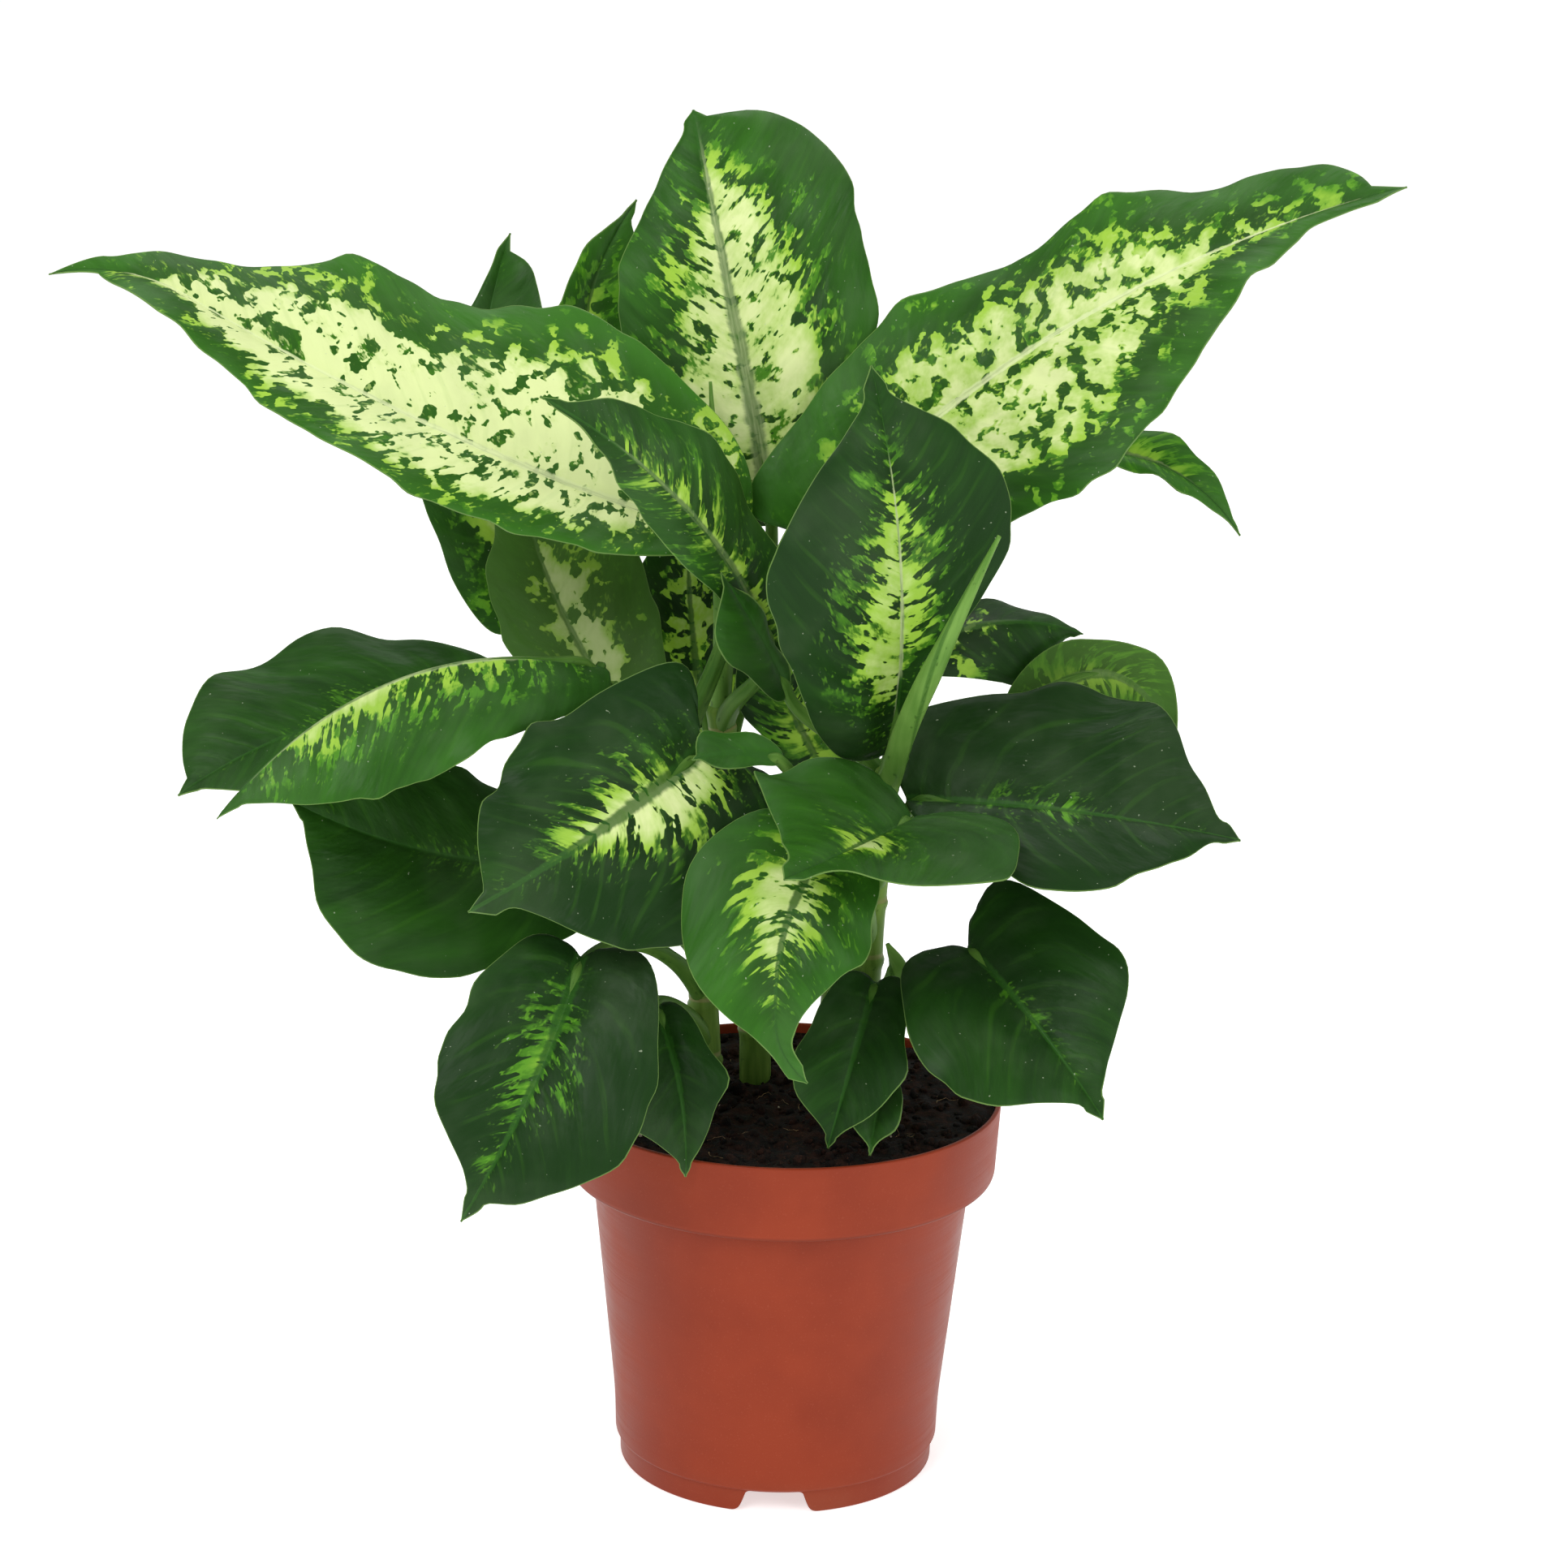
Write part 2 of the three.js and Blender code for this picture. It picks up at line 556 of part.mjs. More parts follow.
// Rolled leaves and sprouts
function shootSolid({ cane, rise, points, radius }) {
  const curve = new THREE.CatmullRomCurve3([canePoint(cane, rise), ...points.map(vector)]);
  const last = radius.length - 1;
  const radiusAt = (t) => {
    const at = Math.min(last - 1, Math.floor(t * last));
    return THREE.MathUtils.lerp(radius[at], radius[at + 1], t * last - at);
  };
  return besideCanes(tube(curve, radiusAt, SHOOT_STEPS, PETIOLE_SIDES));
}

// Soil and pot
function seededNoise(seed) {
  let state = seed;
  return () => {
    state = (state * NOISE_FACTOR) % NOISE_RANGE;
    return state / NOISE_RANGE - 0.5;
  };
}

function circle(radius, heightAt) {
  const ring = [];
  for (let k = 0; k < SOIL_SEGMENTS; k += 1) {
    const angle = (2 * Math.PI * k) / SOIL_SEGMENTS;
    ring.push(new THREE.Vector3(radius * Math.cos(angle), radius * Math.sin(angle), heightAt()));
  }
  return ring;
}

function soilSolid() {
  const noise = seededNoise(SOIL_SEED);
  const inset = WALL + SOIL_CLEARANCE;
  const rings = [
    circle(WALL_FOOT_RADIUS - inset, () => FLOOR_UNDERSIDE + WALL + GAP),
    circle(WALL_TOP_RADIUS - inset, () => COLLAR_BOTTOM - WALL + GAP),
    circle(COLLAR_FOOT_RADIUS - inset, () => COLLAR_BOTTOM + WALL + GAP),
    circle(RIM_RADIUS - inset, () => SOIL_EDGE),
  ];
  for (const share of SOIL_RINGS) {
    const mound = SOIL_EDGE + SOIL_MOUND * (1 - share);
    rings.push(circle(share * RIM_RADIUS, () => mound + SOIL_LUMP * noise()));
  }
  const solid = toManifold(geometryFromRings(rings));
  return caneRooms.reduce((body, room) => body.subtract(room), solid);
}

function potBody() {
  const profile = [
    [0, FLOOR_UNDERSIDE],
    [FOOT_RADIUS - FOOT_RING, FLOOR_UNDERSIDE],
    [FOOT_RADIUS - FOOT_RING, 0],
    [FOOT_RADIUS, 0],
    [FOOT_RADIUS, FOOT_HEIGHT],
    [WALL_FOOT_RADIUS, FOOT_HEIGHT + EDGE],
    [WALL_TOP_RADIUS, COLLAR_BOTTOM - EDGE],
    [COLLAR_FOOT_RADIUS - EDGE, COLLAR_BOTTOM],
    [COLLAR_FOOT_RADIUS, COLLAR_BOTTOM + EDGE],
    [RIM_RADIUS, POT_HEIGHT - EDGE],
    [RIM_RADIUS - EDGE / 2, POT_HEIGHT],
    [RIM_RADIUS - WALL, POT_HEIGHT],
    [COLLAR_FOOT_RADIUS - WALL, COLLAR_BOTTOM + WALL],
    [WALL_TOP_RADIUS - WALL, COLLAR_BOTTOM - WALL],
    [WALL_FOOT_RADIUS - WALL, FLOOR_UNDERSIDE + WALL],
    [0, FLOOR_UNDERSIDE + WALL],
  ].map(([r, z]) => new THREE.Vector2(r, z));
  const lathe = new THREE.LatheGeometry(profile, POT_SEGMENTS);
  lathe.rotateX(Math.PI / 2);
  return toManifold(lathe);
}

// A notch in the foot ring, narrower at its top, centred on the +X axis
function notchCutter() {
  const outline = new THREE.Shape([
    new THREE.Vector2(-NOTCH_FOOT_WIDTH / 2, -CUT_EXTRA),
    new THREE.Vector2(NOTCH_FOOT_WIDTH / 2, -CUT_EXTRA),
    new THREE.Vector2(NOTCH_TOP_WIDTH / 2, FOOT_HEIGHT),
    new THREE.Vector2(-NOTCH_TOP_WIDTH / 2, FOOT_HEIGHT),
  ]);
  const notch = new THREE.ExtrudeGeometry(outline, { depth: 4 * FOOT_RING, bevelEnabled: false });
  notch.rotateX(Math.PI / 2);
  notch.rotateZ(Math.PI / 2);
  notch.translate(FOOT_RADIUS - 2 * FOOT_RING, 0, 0);
  return notch;
}

function drainCutter() {
  const drain = new THREE.CylinderGeometry(DRAIN_RADIUS, DRAIN_RADIUS, WALL + 2 * CUT_EXTRA, DRAIN_SIDES);
  drain.rotateX(Math.PI / 2);
  drain.translate(DRAIN_RING, 0, FLOOR_UNDERSIDE + WALL / 2);
  return drain;
}

function potSolid() {
  let pot = potBody();
  for (let i = 0; i < NOTCHES; i += 1) {
    const angle = (2 * Math.PI * i) / NOTCHES - Math.PI / 2;
    pot = pot.subtract(toManifold(notchCutter().rotateZ(angle)));
  }
  for (let i = 0; i < DRAIN_HOLES; i += 1) {
    const angle = (2 * Math.PI * (i + 0.5)) / DRAIN_HOLES;
    pot = pot.subtract(toManifold(drainCutter().rotateZ(angle)));
  }
  return pot;
}

// The model
const materials = {
  leaf: { color: 0x2f6b2c, roughness: 0.42, metalness: 0 },
  cane: { color: 0x7fae4e, roughness: 0.4, metalness: 0 },
  shoot: { color: 0x74a84a, roughness: 0.4, metalness: 0 },
  soil: { color: 0x2a1d16, roughness: 0.95, metalness: 0 },
  pot: { color: 0xa04a34, roughness: 0.5, metalness: 0 },
};

const plant = new THREE.Group();
plant.position.set(AXIS_AT[0], AXIS_AT[1], 0);

function place(name, solid, material) {
  const mesh = new THREE.Mesh(toGeometry(solid), new THREE.MeshStandardMaterial(materials[material]));
  mesh.name = name;
  plant.add(mesh);
}

place('pot', potSolid(), 'pot');
place('soil', soilSolid(), 'soil');
for (const name of Object.keys(CANES)) place(name, caneSolid(name), 'cane');
for (const [name, spec] of Object.entries(LEAVES)) place(name, leafSolid(spec), 'leaf');
for (const [name, spec] of Object.entries(SPEARS)) place(name, shootSolid(spec), 'shoot');
for (const [name, spec] of Object.entries(SPROUTS)) place(name, shootSolid(spec), 'shoot');

const model = new THREE.Group();
model.add(plant);

export default model;
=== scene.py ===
# Potted dieffenbachia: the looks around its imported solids. The shapes are worked out in
# millimetres from the pot's axis on the ground, with the solids' own values except at two leaf
# tips, and then put in metres.
import math
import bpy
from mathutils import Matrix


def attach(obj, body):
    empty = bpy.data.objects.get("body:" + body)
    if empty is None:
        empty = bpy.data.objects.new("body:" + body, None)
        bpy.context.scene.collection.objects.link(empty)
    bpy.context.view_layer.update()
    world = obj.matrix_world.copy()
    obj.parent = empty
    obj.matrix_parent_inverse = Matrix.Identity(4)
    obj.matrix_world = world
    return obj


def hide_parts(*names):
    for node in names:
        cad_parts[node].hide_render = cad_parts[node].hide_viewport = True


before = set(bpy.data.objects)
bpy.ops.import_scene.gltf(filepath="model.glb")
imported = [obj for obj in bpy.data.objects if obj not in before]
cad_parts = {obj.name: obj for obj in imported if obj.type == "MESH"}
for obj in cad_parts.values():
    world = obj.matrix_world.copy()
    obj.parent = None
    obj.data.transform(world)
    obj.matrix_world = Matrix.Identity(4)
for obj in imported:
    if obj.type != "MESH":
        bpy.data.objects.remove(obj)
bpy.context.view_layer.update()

from types import SimpleNamespace

import bmesh
import bpy
import numpy as np
from mathutils import Matrix, Vector

MM = 0.001
TURN = 2 * math.pi
AXIS_AT = np.array([18.5, -23, 0])  # where the pot's axis stands from the middle of the footprint

# Camera, from the pot's axis
LENS = 93.17
SENSOR = 36
CAMERA_AT = np.array([-1.6, -1053.5, 481.5])
CAMERA_PITCH = 0.267
CAMERA_ROLL = 0.022
CLIP_START = 0.05
CLIP_END = 60

# Studio, in metres: each light's place, size and power
LIGHTS = {
    "key": [(-0.7, -1.3, 1.5), 1.1, 15],
    "fill": [(1.2, -1.1, 0.8), 1.0, 5],
    "top": [(0.1, 0.5, 1.7), 1.2, 9],
}
LIGHTS_AIM = (0, 0, 0.2)
WORLD_STRENGTH = 0.5
FLOOR_REACH = 20
FLOOR_GLOW = 0.6

# Pot and soil, as in the solids
POT_HEIGHT = 105.7
RIM_RADIUS = 60
WALL = 1.4
COLLAR_BOTTOM = 84.7
COLLAR_FOOT_RADIUS = 58.7
WALL_TOP_RADIUS = 52.2
WALL_FOOT_RADIUS = 44.9
FOOT_HEIGHT = 6.4
FOOT_RADIUS = 43.5
FOOT_RING = 2.6
FLOOR_UNDERSIDE = 7
NOTCHES = 3
NOTCH_TOP_WIDTH = 15.4
NOTCH_FOOT_WIDTH = 20
DRAIN_HOLES = 6
DRAIN_RADIUS = 4
DRAIN_RING = 27
SOIL_EDGE = 103.6
SOIL_MOUND = 1.5
SOIL_GAP = 0.3  # less than in the solids, whose pot has flat facets

# Canes and leaves, as in the solids
CANE_FOOT = 74
CANE_NODE_STEP = 17
CANE_SAMPLE = 4
RIB_DEPTH = 1.1
LOBE_FADE = 0.13
CURL = math.radians(-25)
VEIN_SWEEP = 0.18
WAVE_OFFSET = 2
WAVE_STRETCH = 0.8
DRIP_WIDTH = 0.1
HOOK_FROM = 0.8
EVEN_ROWS = 0.4
TANGENT_STEP = 0.01
PETIOLE_ROOT = 3.1
PETIOLE_END = 1.6
PETIOLE_TAPER = 0.6
PETIOLE_JOIN = 0.05
PETIOLE_LEAVE = 0.4
PETIOLE_ARRIVE = 0.35
PETIOLE_LIFT = 0.5

# Each cane's points from its foot in the soil to its top, and its radius at those two ends
CANES = {
    "cane_left": {
        "points": [[-19, 2, CANE_FOOT], [-24, -1, 150], [-33, -9, 204]], "radius": [4.4, 3.4],
    },
    "cane_centre": {
        "points": [[-7, 15, CANE_FOOT], [-10, 14, 150], [-20, 8, 214]], "radius": [4.6, 3.6],
    },
    "cane_right": {
        "points": [[20, -6, CANE_FOOT], [22, -6, 150], [25, -8, 203]], "radius": [4.3, 4.1],
    },
    "cane_back": {
        "points": [[12, 34, CANE_FOOT], [16, 36, 150], [20, 38, 226]], "radius": [4.6, 3.6],
    },
}

# Rolled leaves and sprouts. rise is the height where they leave their cane, and roll is how much
# their outer turn stands proud, as a share of the radius.
SHOOTS = {
    "spear_right": {
        "cane": "cane_right", "rise": 179, "seed": 61, "roll": 0.16,
        "points": [[25, -18, 195], [29, -32, 215], [38, -46, 242], [45, -51, 259.5], [51, -55, 274]],
        "radius": [3, 3, 3.2, 3, 1.7, 0.5],
    },
    "spear_centre": {
        "cane": "cane_centre", "rise": 208, "seed": 62, "roll": 0.16,
        "points": [[-19, 7, 240], [-21, 9, 268], [-23.5, 13, 300]],
        "radius": [3, 2.6, 1.9, 0.4],
    },
    "sprout_upper": {
        "cane": "cane_right", "rise": 138, "seed": 71, "roll": 0.08,
        "points": [[27.5, -15, 142], [30, -16, 147.5], [27, -16, 154]],
        "radius": [1.5, 1.3, 2.9, 0.5],
    },
    "sprout_lower": {
        "cane": "cane_right", "rise": 133, "seed": 72, "roll": 0.08,
        "points": [[29, -15.5, 137], [32.5, -18, 142], [36.5, -18, 149.5]],
        "radius": [1.5, 1.4, 2.1, 0.6],
    },
}

# What a leaf has unless it says otherwise. Pairs are for its left and right halves.
LEAF_DEFAULTS = {
    "point": [1.15, 1.15],  # how the margins run in to the tip
    "round": [0.55, 0.55],  # how they leave the base: low is full and round
    "peak": None,  # where the halves are widest, when that isn't beside mid
    "lobe": [0.55, 0.55],  # how far each half of the base runs back in a round lobe
    "wave": [1, 2, 0],  # the margin's waves: how high, how many and where they start
    "cup": 18,  # how far the halves rise at the base, in degrees
    "keel": 10,  # how far they rise at the tip
    "twist": 0,  # turn about the midrib from base to tip
    "spread": 0.6,  # how far the petiole leaves its cane outwards rather than upwards
    "drip": 0.05,  # how long the drawn-out point is, as a share of the blade
    "hook": [0, 0, 0],  # how far the tip bends away from the midrib's curve
    # How far out the pale middle reaches at PALE_PLACES, as shares of the half blade: five values
    # for both halves, or five for each
    "pale": [-1, -1, -1, -1, -1],
    "cream": 0.5,  # how much of the pale middle is cream rather than yellow-green
    "halo": 0.5,  # how wide its yellow-green fringe is
    "streak": 1,  # 1 runs in streaks along the side veins, 0 in round blotches
    "fleck": 0.2,  # how many dark flecks it has
    "depth": 0.8,  # how far inside it green still breaks through, in centimetres
    "rib": 0.04,  # how pale the midrib is
    "broad": 1,  # how broad the midrib is
    "fresh": 0.15,  # how light the green is
    "turned": False,  # whether the blade's upper face is the underside
}
PALE_PLACES = [0, 0.25, 0.5, 0.75, 1]  # from base to tip


def leaf(cane, rise, base, mid, tip, left, right, **more):
    """A leaf from its cane, the height where it leaves it, five points of its blade, and the rest."""
    places = {"base": base, "mid": mid, "tip": tip, "left": left, "right": right}
    return {**LEAF_DEFAULTS, **places, "cane": cane, "rise": rise, **more}


LEAVES = {
    "leaf_top_left": leaf(
        "cane_left", 198,
        [-14, 0, 259], [-98, -12, 292], [-189, -20, 345], [-97, -33, 277], [-106, 16, 328],
        wave=[3, 2.9, 3.2], point=[0.5, 1], peak=[0.42, 0.3], round=[0.8, 0.5], lobe=[0.4, 0.25],
        twist=40, cup=30, drip=0.07, hook=[-4, 4, -16],
        pale=[[0.7, 0.86, 0.88, 0.8, 0.5], [0.9, 0.78, 0.7, 0.88, 0.5]],
        cream=0.7, halo=0.6, streak=[0.5, 0.05], fleck=0.7, rib=0.95, fresh=0.85, depth=0.9,
    ),
    "leaf_top_centre": leaf(
        "cane_centre", 200,
        [-6, 20, 262], [-18, 26, 317], [-30, 46, 368], [-49, 24, 318], [21, 22, 320],
        wave=[1.6, 3, 1.1], point=[1, 0.33], peak=[0.35, 0.5], keel=-20, drip=0.03,
        pale=[[0.8, 0.74, 0.62, 0.42, -0.3], [0.8, 0.72, 0.6, 0.46, -0.3]],
        cream=0.6, halo=0.9, streak=0.5, fleck=0.6, rib=0.2, broad=2.1, fresh=0.5, depth=0.75,
    ),
    "leaf_top_right": leaf(
        "cane_back", 190,
        [5, 6, 262], [67, 4, 316], [156, 0, 357], [56, 22, 335], [84, -26, 293],
        wave=[2.8, 3, 1.1], point=[0.45, 1.8], peak=[0.34, 0.34], round=[0.25, 0.5],
        lobe=[0.9, 0.5], twist=-40, cup=30,
        pale=[[0.1, 0.75, 0.74, 0.5, -0.4], [0.5, 0.85, 0.82, 0.5, -0.4]],
        cream=0.42, halo=0.8, streak=0.15, fleck=0.75, rib=0.95, fresh=0.65, depth=0.85,
    ),
    "leaf_front_upright": leaf(
        "cane_right", 192,
        [26, -18, 208], [27, -38, 262], [18, -40, 314], [-6, -50, 263], [54, -40, 272],
        peak=[0.45, 0.6], round=[0.5, 3], lobe=[0.3, 0.2],
        pale=[[-0.05, 0.5, 0.36, 0.1, -1], [0, 0.38, 0.3, 0.12, -1]],
        cream=0.48, halo=0.7, streak=0.65, fleck=0.5, rib=0.5, broad=0.6, fresh=0.1, depth=0.6,
    ),
    "leaf_back_left": leaf(
        "cane_centre", 150,
        [-74, 52, 230], [-85, 58, 260], [-81, 74, 330], [-103, 54, 253], [-68, 54, 260],
        wave=[1.4, 2, 0], point=[1.3, 0.45], peak=[0.3, 0.6], round=[0.3, 0.6], lobe=[0.9, 0.5],
        pale=[[0.5, 0.45, -0.1, -1, -1], [0.7, 0.6, 0.3, -0.5, -1]],
        cream=0.3, halo=0.7, streak=0.3, fleck=0.5, fresh=0.4,
    ),
    "leaf_behind_top": leaf(
        "cane_back", 176,
        [-53, 48, 273], [-58, 46, 314], [-45, 50, 343], [-66, 40, 313], [-41, 50, 305],
        wave=[1.4, 2, 0], pale=[0.6, 0.6, 0.45, 0.1, -1],
        cream=0.1, halo=0.9, streak=0.3, fleck=0.5, fresh=0.7,
    ),
    "leaf_front_left": leaf(
        "cane_centre", 206,
        [-5, -14, 232], [-30, -34, 277], [-65, -44, 305], [-39, -40, 273], [-17, -22, 284],
        wave=[1.4, 2.4, 0], point=[2, 1],
        pale=[[0.1, 0.18, 0.18, 0.1, -0.8], [0.3, 0.34, 0.28, 0.1, -0.8]],
        cream=0.6, halo=0.6, fleck=0.4, rib=0.12, fresh=0.4,
    ),
    "leaf_left_underside": leaf(
        "cane_centre", 160,
        [-41, 8, 204], [-64, 22, 237], [-77, 44, 273], [-84, 24, 239], [-32, 16, 233],
        pale=[[0.6, 0.6, 0.4, 0.1, -0.5], [0.6, 0.6, 0.5, 0.2, -0.5]],
        cream=0.6, halo=0.4, streak=0.2, fleck=0.6, rib=0.1, fresh=0.5, turned=True,
    ),
    "leaf_inner": leaf(
        "cane_back", 150,
        [-23, 24, 203], [-28, 30, 232], [-29, 38, 265], [-44, 34, 231], [-8, 30, 232],
        pale=[0.8, 0.8, 0.7, 0.5, 0], cream=0.3, halo=0.7, streak=0.2, fleck=0.8,
    ),
    "leaf_left_upper": leaf(
        "cane_left", 172,
        [-72, -7, 215], [-116, -21, 215], [-159, -38, 197], [-114, -46, 201], [-134, -2, 230],
        wave=[2, 3, 0], point=[0.95, 0.6], round=[0.55, 0.8],
        pale=[-0.4, -0.08, 0.05, -0.5, -1], cream=0, halo=0.8, fresh=0.3,
    ),
    "leaf_left_folded": leaf(
        "cane_left", 190,
        [-49, -18, 229], [-103, -48, 231], [-145, -66, 199], [-97, -62, 207], [-110, -36, 217],
        wave=[1.2, 3, 0], point=[0.85, 0.7],
        pale=[[-0.3, 0.2, 0.25, 0.34, -0.1], [-0.3, 0.05, 0.05, 0, -1]],
        halo=1, streak=0.6, fleck=0.5, rib=0.4, fresh=0.55,
    ),
    "leaf_left_lower": leaf(
        "cane_left", 145,
        [-56, -10, 172], [-95, -24, 179], [-130, -34, 195], [-96, -43, 151], [-90, -8, 198],
        wave=[1.4, 3, 0], point=[0.9, 0.9], round=[0.45, 0.45],
        pale=[-0.6, -0.12, -0.1, -0.5, -1], cream=0, halo=0.7, fresh=0.38,
    ),
    "leaf_centre_left": leaf(
        "cane_left", 176,
        [-24, -32, 210], [-46, -52, 196], [-81, -70, 177], [-32, -66, 164], [-63, -45, 220],
        wave=[2, 3, 0], point=[1.4, 0.7], peak=[0.3, 0.34], round=[0.4, 0.25], lobe=[0.8, 0.9],
        drip=0.08, pale=[[0.4, 0.5, 0.24, -0.4, -1], [0, 0.3, 0.28, -0.1, -1]],
        cream=0.58, halo=0.6, fleck=0.45, rib=0, broad=1.8, fresh=0.03,
    ),
    "leaf_low_left": leaf(
        "cane_left", 132,
        [-53, -52, 160], [-61, -70, 139], [-82, -80, 97], [-26, -70, 147], [-89, -74, 139],
        wave=[1.4, 2, 0], point=[1, 1.1], round=[0.4, 0.45], drip=0.08,
        pale=[[-0.5, 0, 0.1, -0.4, -1], [-0.4, 0.1, 0.12, -0.4, -1]],
        cream=0.1, halo=0.9, fleck=0.35, rib=0, broad=1.5, fresh=0.06,
    ),
    "leaf_low_left_small": leaf(
        "cane_left", 118,
        [-34, -38, 142], [-28, -50, 128], [-25, -60, 103], [-17, -48, 129], [-45, -60, 127],
        fresh=0.12,
    ),
    "leaf_low_centre": leaf(
        "cane_right", 150,
        [10, -52, 191], [0, -70, 176], [0, -84, 137], [23, -68, 181], [-27, -66, 181],
        wave=[1.4, 2, 0], point=[1.7, 1.5], peak=[0.25, 0.28], hook=[6, 0, 1],
        pale=[[0.1, 0.55, 0.44, 0.02, -1], [0.3, 0.58, 0.44, 0.02, -1]],
        halo=0.7, streak=0.85, fleck=0.7, rib=0, fresh=0.62,
    ),
    "leaf_right_wavy": leaf(
        "cane_right", 166,
        [32, -30, 193], [18, -60, 194], [-1, -92, 194], [59, -53, 189], [-8, -52, 209],
        wave=[2.4, 2.4, 0], point=[2.3, 1.6], peak=[0.28, 0.38],
        pale=[[-1, 0, 0.42, -0.6, -1], [-1, -0.1, 0.22, -0.6, -1]], rib=0, fresh=0.48,
    ),
    "leaf_right_large": leaf(
        "cane_right", 174,
        [31, -12, 193], [70, -26, 195], [118, -34, 190], [74, 4, 221], [67, -50, 181],
        wave=[1.2, 3, 0], round=[0.35, 0.8], lobe=[0.7, 0.2],
        pale=[[-0.6, -0.12, 0.02, -0.5, -1], [-0.6, -0.14, 0.02, -0.5, -1]],
        cream=0, rib=0.05, fresh=0,
    ),
    "leaf_right_behind": leaf(
        "cane_back", 164,
        [31, 12, 228], [54, 18, 235], [79, 24, 231], [50, 30, 237], [53, 14, 218],
        pale=[0.8, 0.6, 0.2, -0.3, -1], cream=0.6, streak=0.3, fleck=0.7,
    ),
    "leaf_right_turned": leaf(
        "cane_back", 155,
        [62, 8, 213], [85, 11, 223], [106, 6, 198], [80, 6, 206], [92, 13, 232],
        round=[0.4, 0.3], lobe=[0.5, 0.8], pale=[0.5, 0.45, 0.35, 0.1, -0.5],
        cream=0.2, halo=0.7, fleck=0.4, rib=0.1, fresh=0.5,
    ),
    "leaf_right_slender": leaf(
        "cane_back", 198,
        [70, 38, 278], [99, 34, 276], [121, 30, 258], [103, 40, 282], [97, 28, 274],
        wave=[0.8, 2, 0], pale=[0.2, 0.35, 0.25, 0, -0.5], cream=0.3, halo=0.7, rib=0.2, fresh=0.75,
    ),
    "leaf_low_right": leaf(
        "cane_right", 124,
        [48, -24, 156], [63, -44, 145], [83, -62, 122], [85, -38, 161], [30, -50, 140],
        wave=[1.4, 2, 0], peak=[0.36, 0.36], round=[0.3, 0.42], lobe=[0.8, 0.5], drip=0.07,
        spread=1.8, pale=[-0.5, -0.2, -0.22, -0.5, -1], cream=0, halo=0.8, rib=0,
    ),
    "leaf_low_front": leaf(
        "cane_right", 116,
        [24, -28, 147], [18, -44, 130], [12, -50, 108], [33, -46, 136], [2, -44, 129],
        round=[0.35, 0.4], spread=1.4,
    ),
    "leaf_low_tip": leaf(
        "cane_right", 109,
        [28, -30, 126], [25, -44, 117], [23, -52, 107], [31, -47, 117], [18, -48, 117],
        wave=[0.6, 2, 0], spread=1.5, fresh=0.35,
    ),
    "leaf_small_green": leaf(
        "cane_centre", 176,
        [-2, -36, 209.5], [-14, -44, 213.5], [-25, -56, 214.5], [-17, -48, 210.5],
        [-13, -34, 216.5], wave=[0.6, 2, 0], fresh=0.5,
    ),
    "leaf_inner_narrow": leaf(
        "cane_right", 197,
        [-1, -14, 222], [-10, -24, 242], [-19, -32, 258], [-17, -28, 234], [-7, -22, 243],
        wave=[0.8, 2, 0], fresh=0.4,
    ),
    "leaf_inner_dark": leaf(
        "cane_right", 190,
        [10, 8, 194], [-1, 4, 216], [-9, 0, 246], [-13, 5, 212], [18, 2, 218],
        wave=[0.8, 2, 0], pale=[0.5, 0.5, 0.3, 0.1, -0.5], cream=0.3, halo=0.7, fresh=0.1,
    ),
    "leaf_back_upper_right": leaf(
        "cane_back", 208,
        [34, 66, 252], [50, 98, 268], [66, 138, 262], [28, 104, 264], [72, 88, 262],
        wave=[1.6, 3, 0], pale=[0.3, 0.5, 0.4, 0.2, -0.5], cream=0.7, rib=0.5, fresh=0.3,
    ),
    "leaf_back_upper_left": leaf(
        "cane_back", 216,
        [-12, 66, 250], [-34, 94, 264], [-62, 128, 256], [-56, 78, 256], [-14, 112, 260],
        wave=[1.6, 3, 1], pale=[0.4, 0.7, 0.6, 0.4, -0.4],
        cream=0.7, streak=0.3, fleck=0.5, rib=0.6, fresh=0.4,
    ),
    "leaf_back_low_right": leaf(
        "cane_back", 133,
        [46, 58, 190], [68, 84, 190], [92, 116, 172], [48, 98, 186], [88, 68, 186],
        wave=[1.6, 3, 2], pale=[0, 0.3, 0.25, 0, -0.8], cream=0.4, halo=0.7, fresh=0.2,
    ),
    "leaf_back_low_left": leaf(
        "cane_back", 139,
        [-26, 56, 186], [-44, 84, 190], [-64, 118, 170], [-66, 68, 184], [-20, 96, 186],
        wave=[1.6, 3, 3], pale=[0.2, 0.4, 0.35, 0.1, -0.8], fleck=0.4, fresh=0.2,
    ),
    "leaf_back_low": leaf(
        "cane_back", 124,
        [6, 64, 160], [2, 92, 154], [-4, 124, 128], [-26, 88, 148], [30, 90, 148],
        wave=[1.6, 3, 4], pale=[-0.3, 0.1, 0.1, -0.2, -1], cream=0.1, halo=0.7,
    ),
}

# Detail that the scene adds to the leaves
MIN_HALF_WIDTH = 0.25  # finer than in the solids
ROW_STEP = 1.5  # size of a blade's faces
ROW_COUNTS = (24, 130)
COLUMN_STEP = 1.4
COLUMN_COUNTS = (9, 34)
COLUMN_CROWD = 1.3  # how much closer the columns lie beside the midrib
MARGIN_COLUMN = 0.985
HALF_THICKNESS = 0.36
MARGIN_THICKNESS = 0.16
VEIN_LEAN = 0.75  # how far the side veins run to the tip for each step outwards
VEIN_BEND = 0.3
VEIN_SPACING = 7.5
QUILT = 0.2
PUCKER = 0.7
PUCKER_SIZE = 11
RIPPLE = 0.9
RIPPLE_SIZE = 10
NICK = 1.1
NICK_SIZE = 7
NICK_WIDTH = 4  # the narrowest half blade that its nicks are measured by
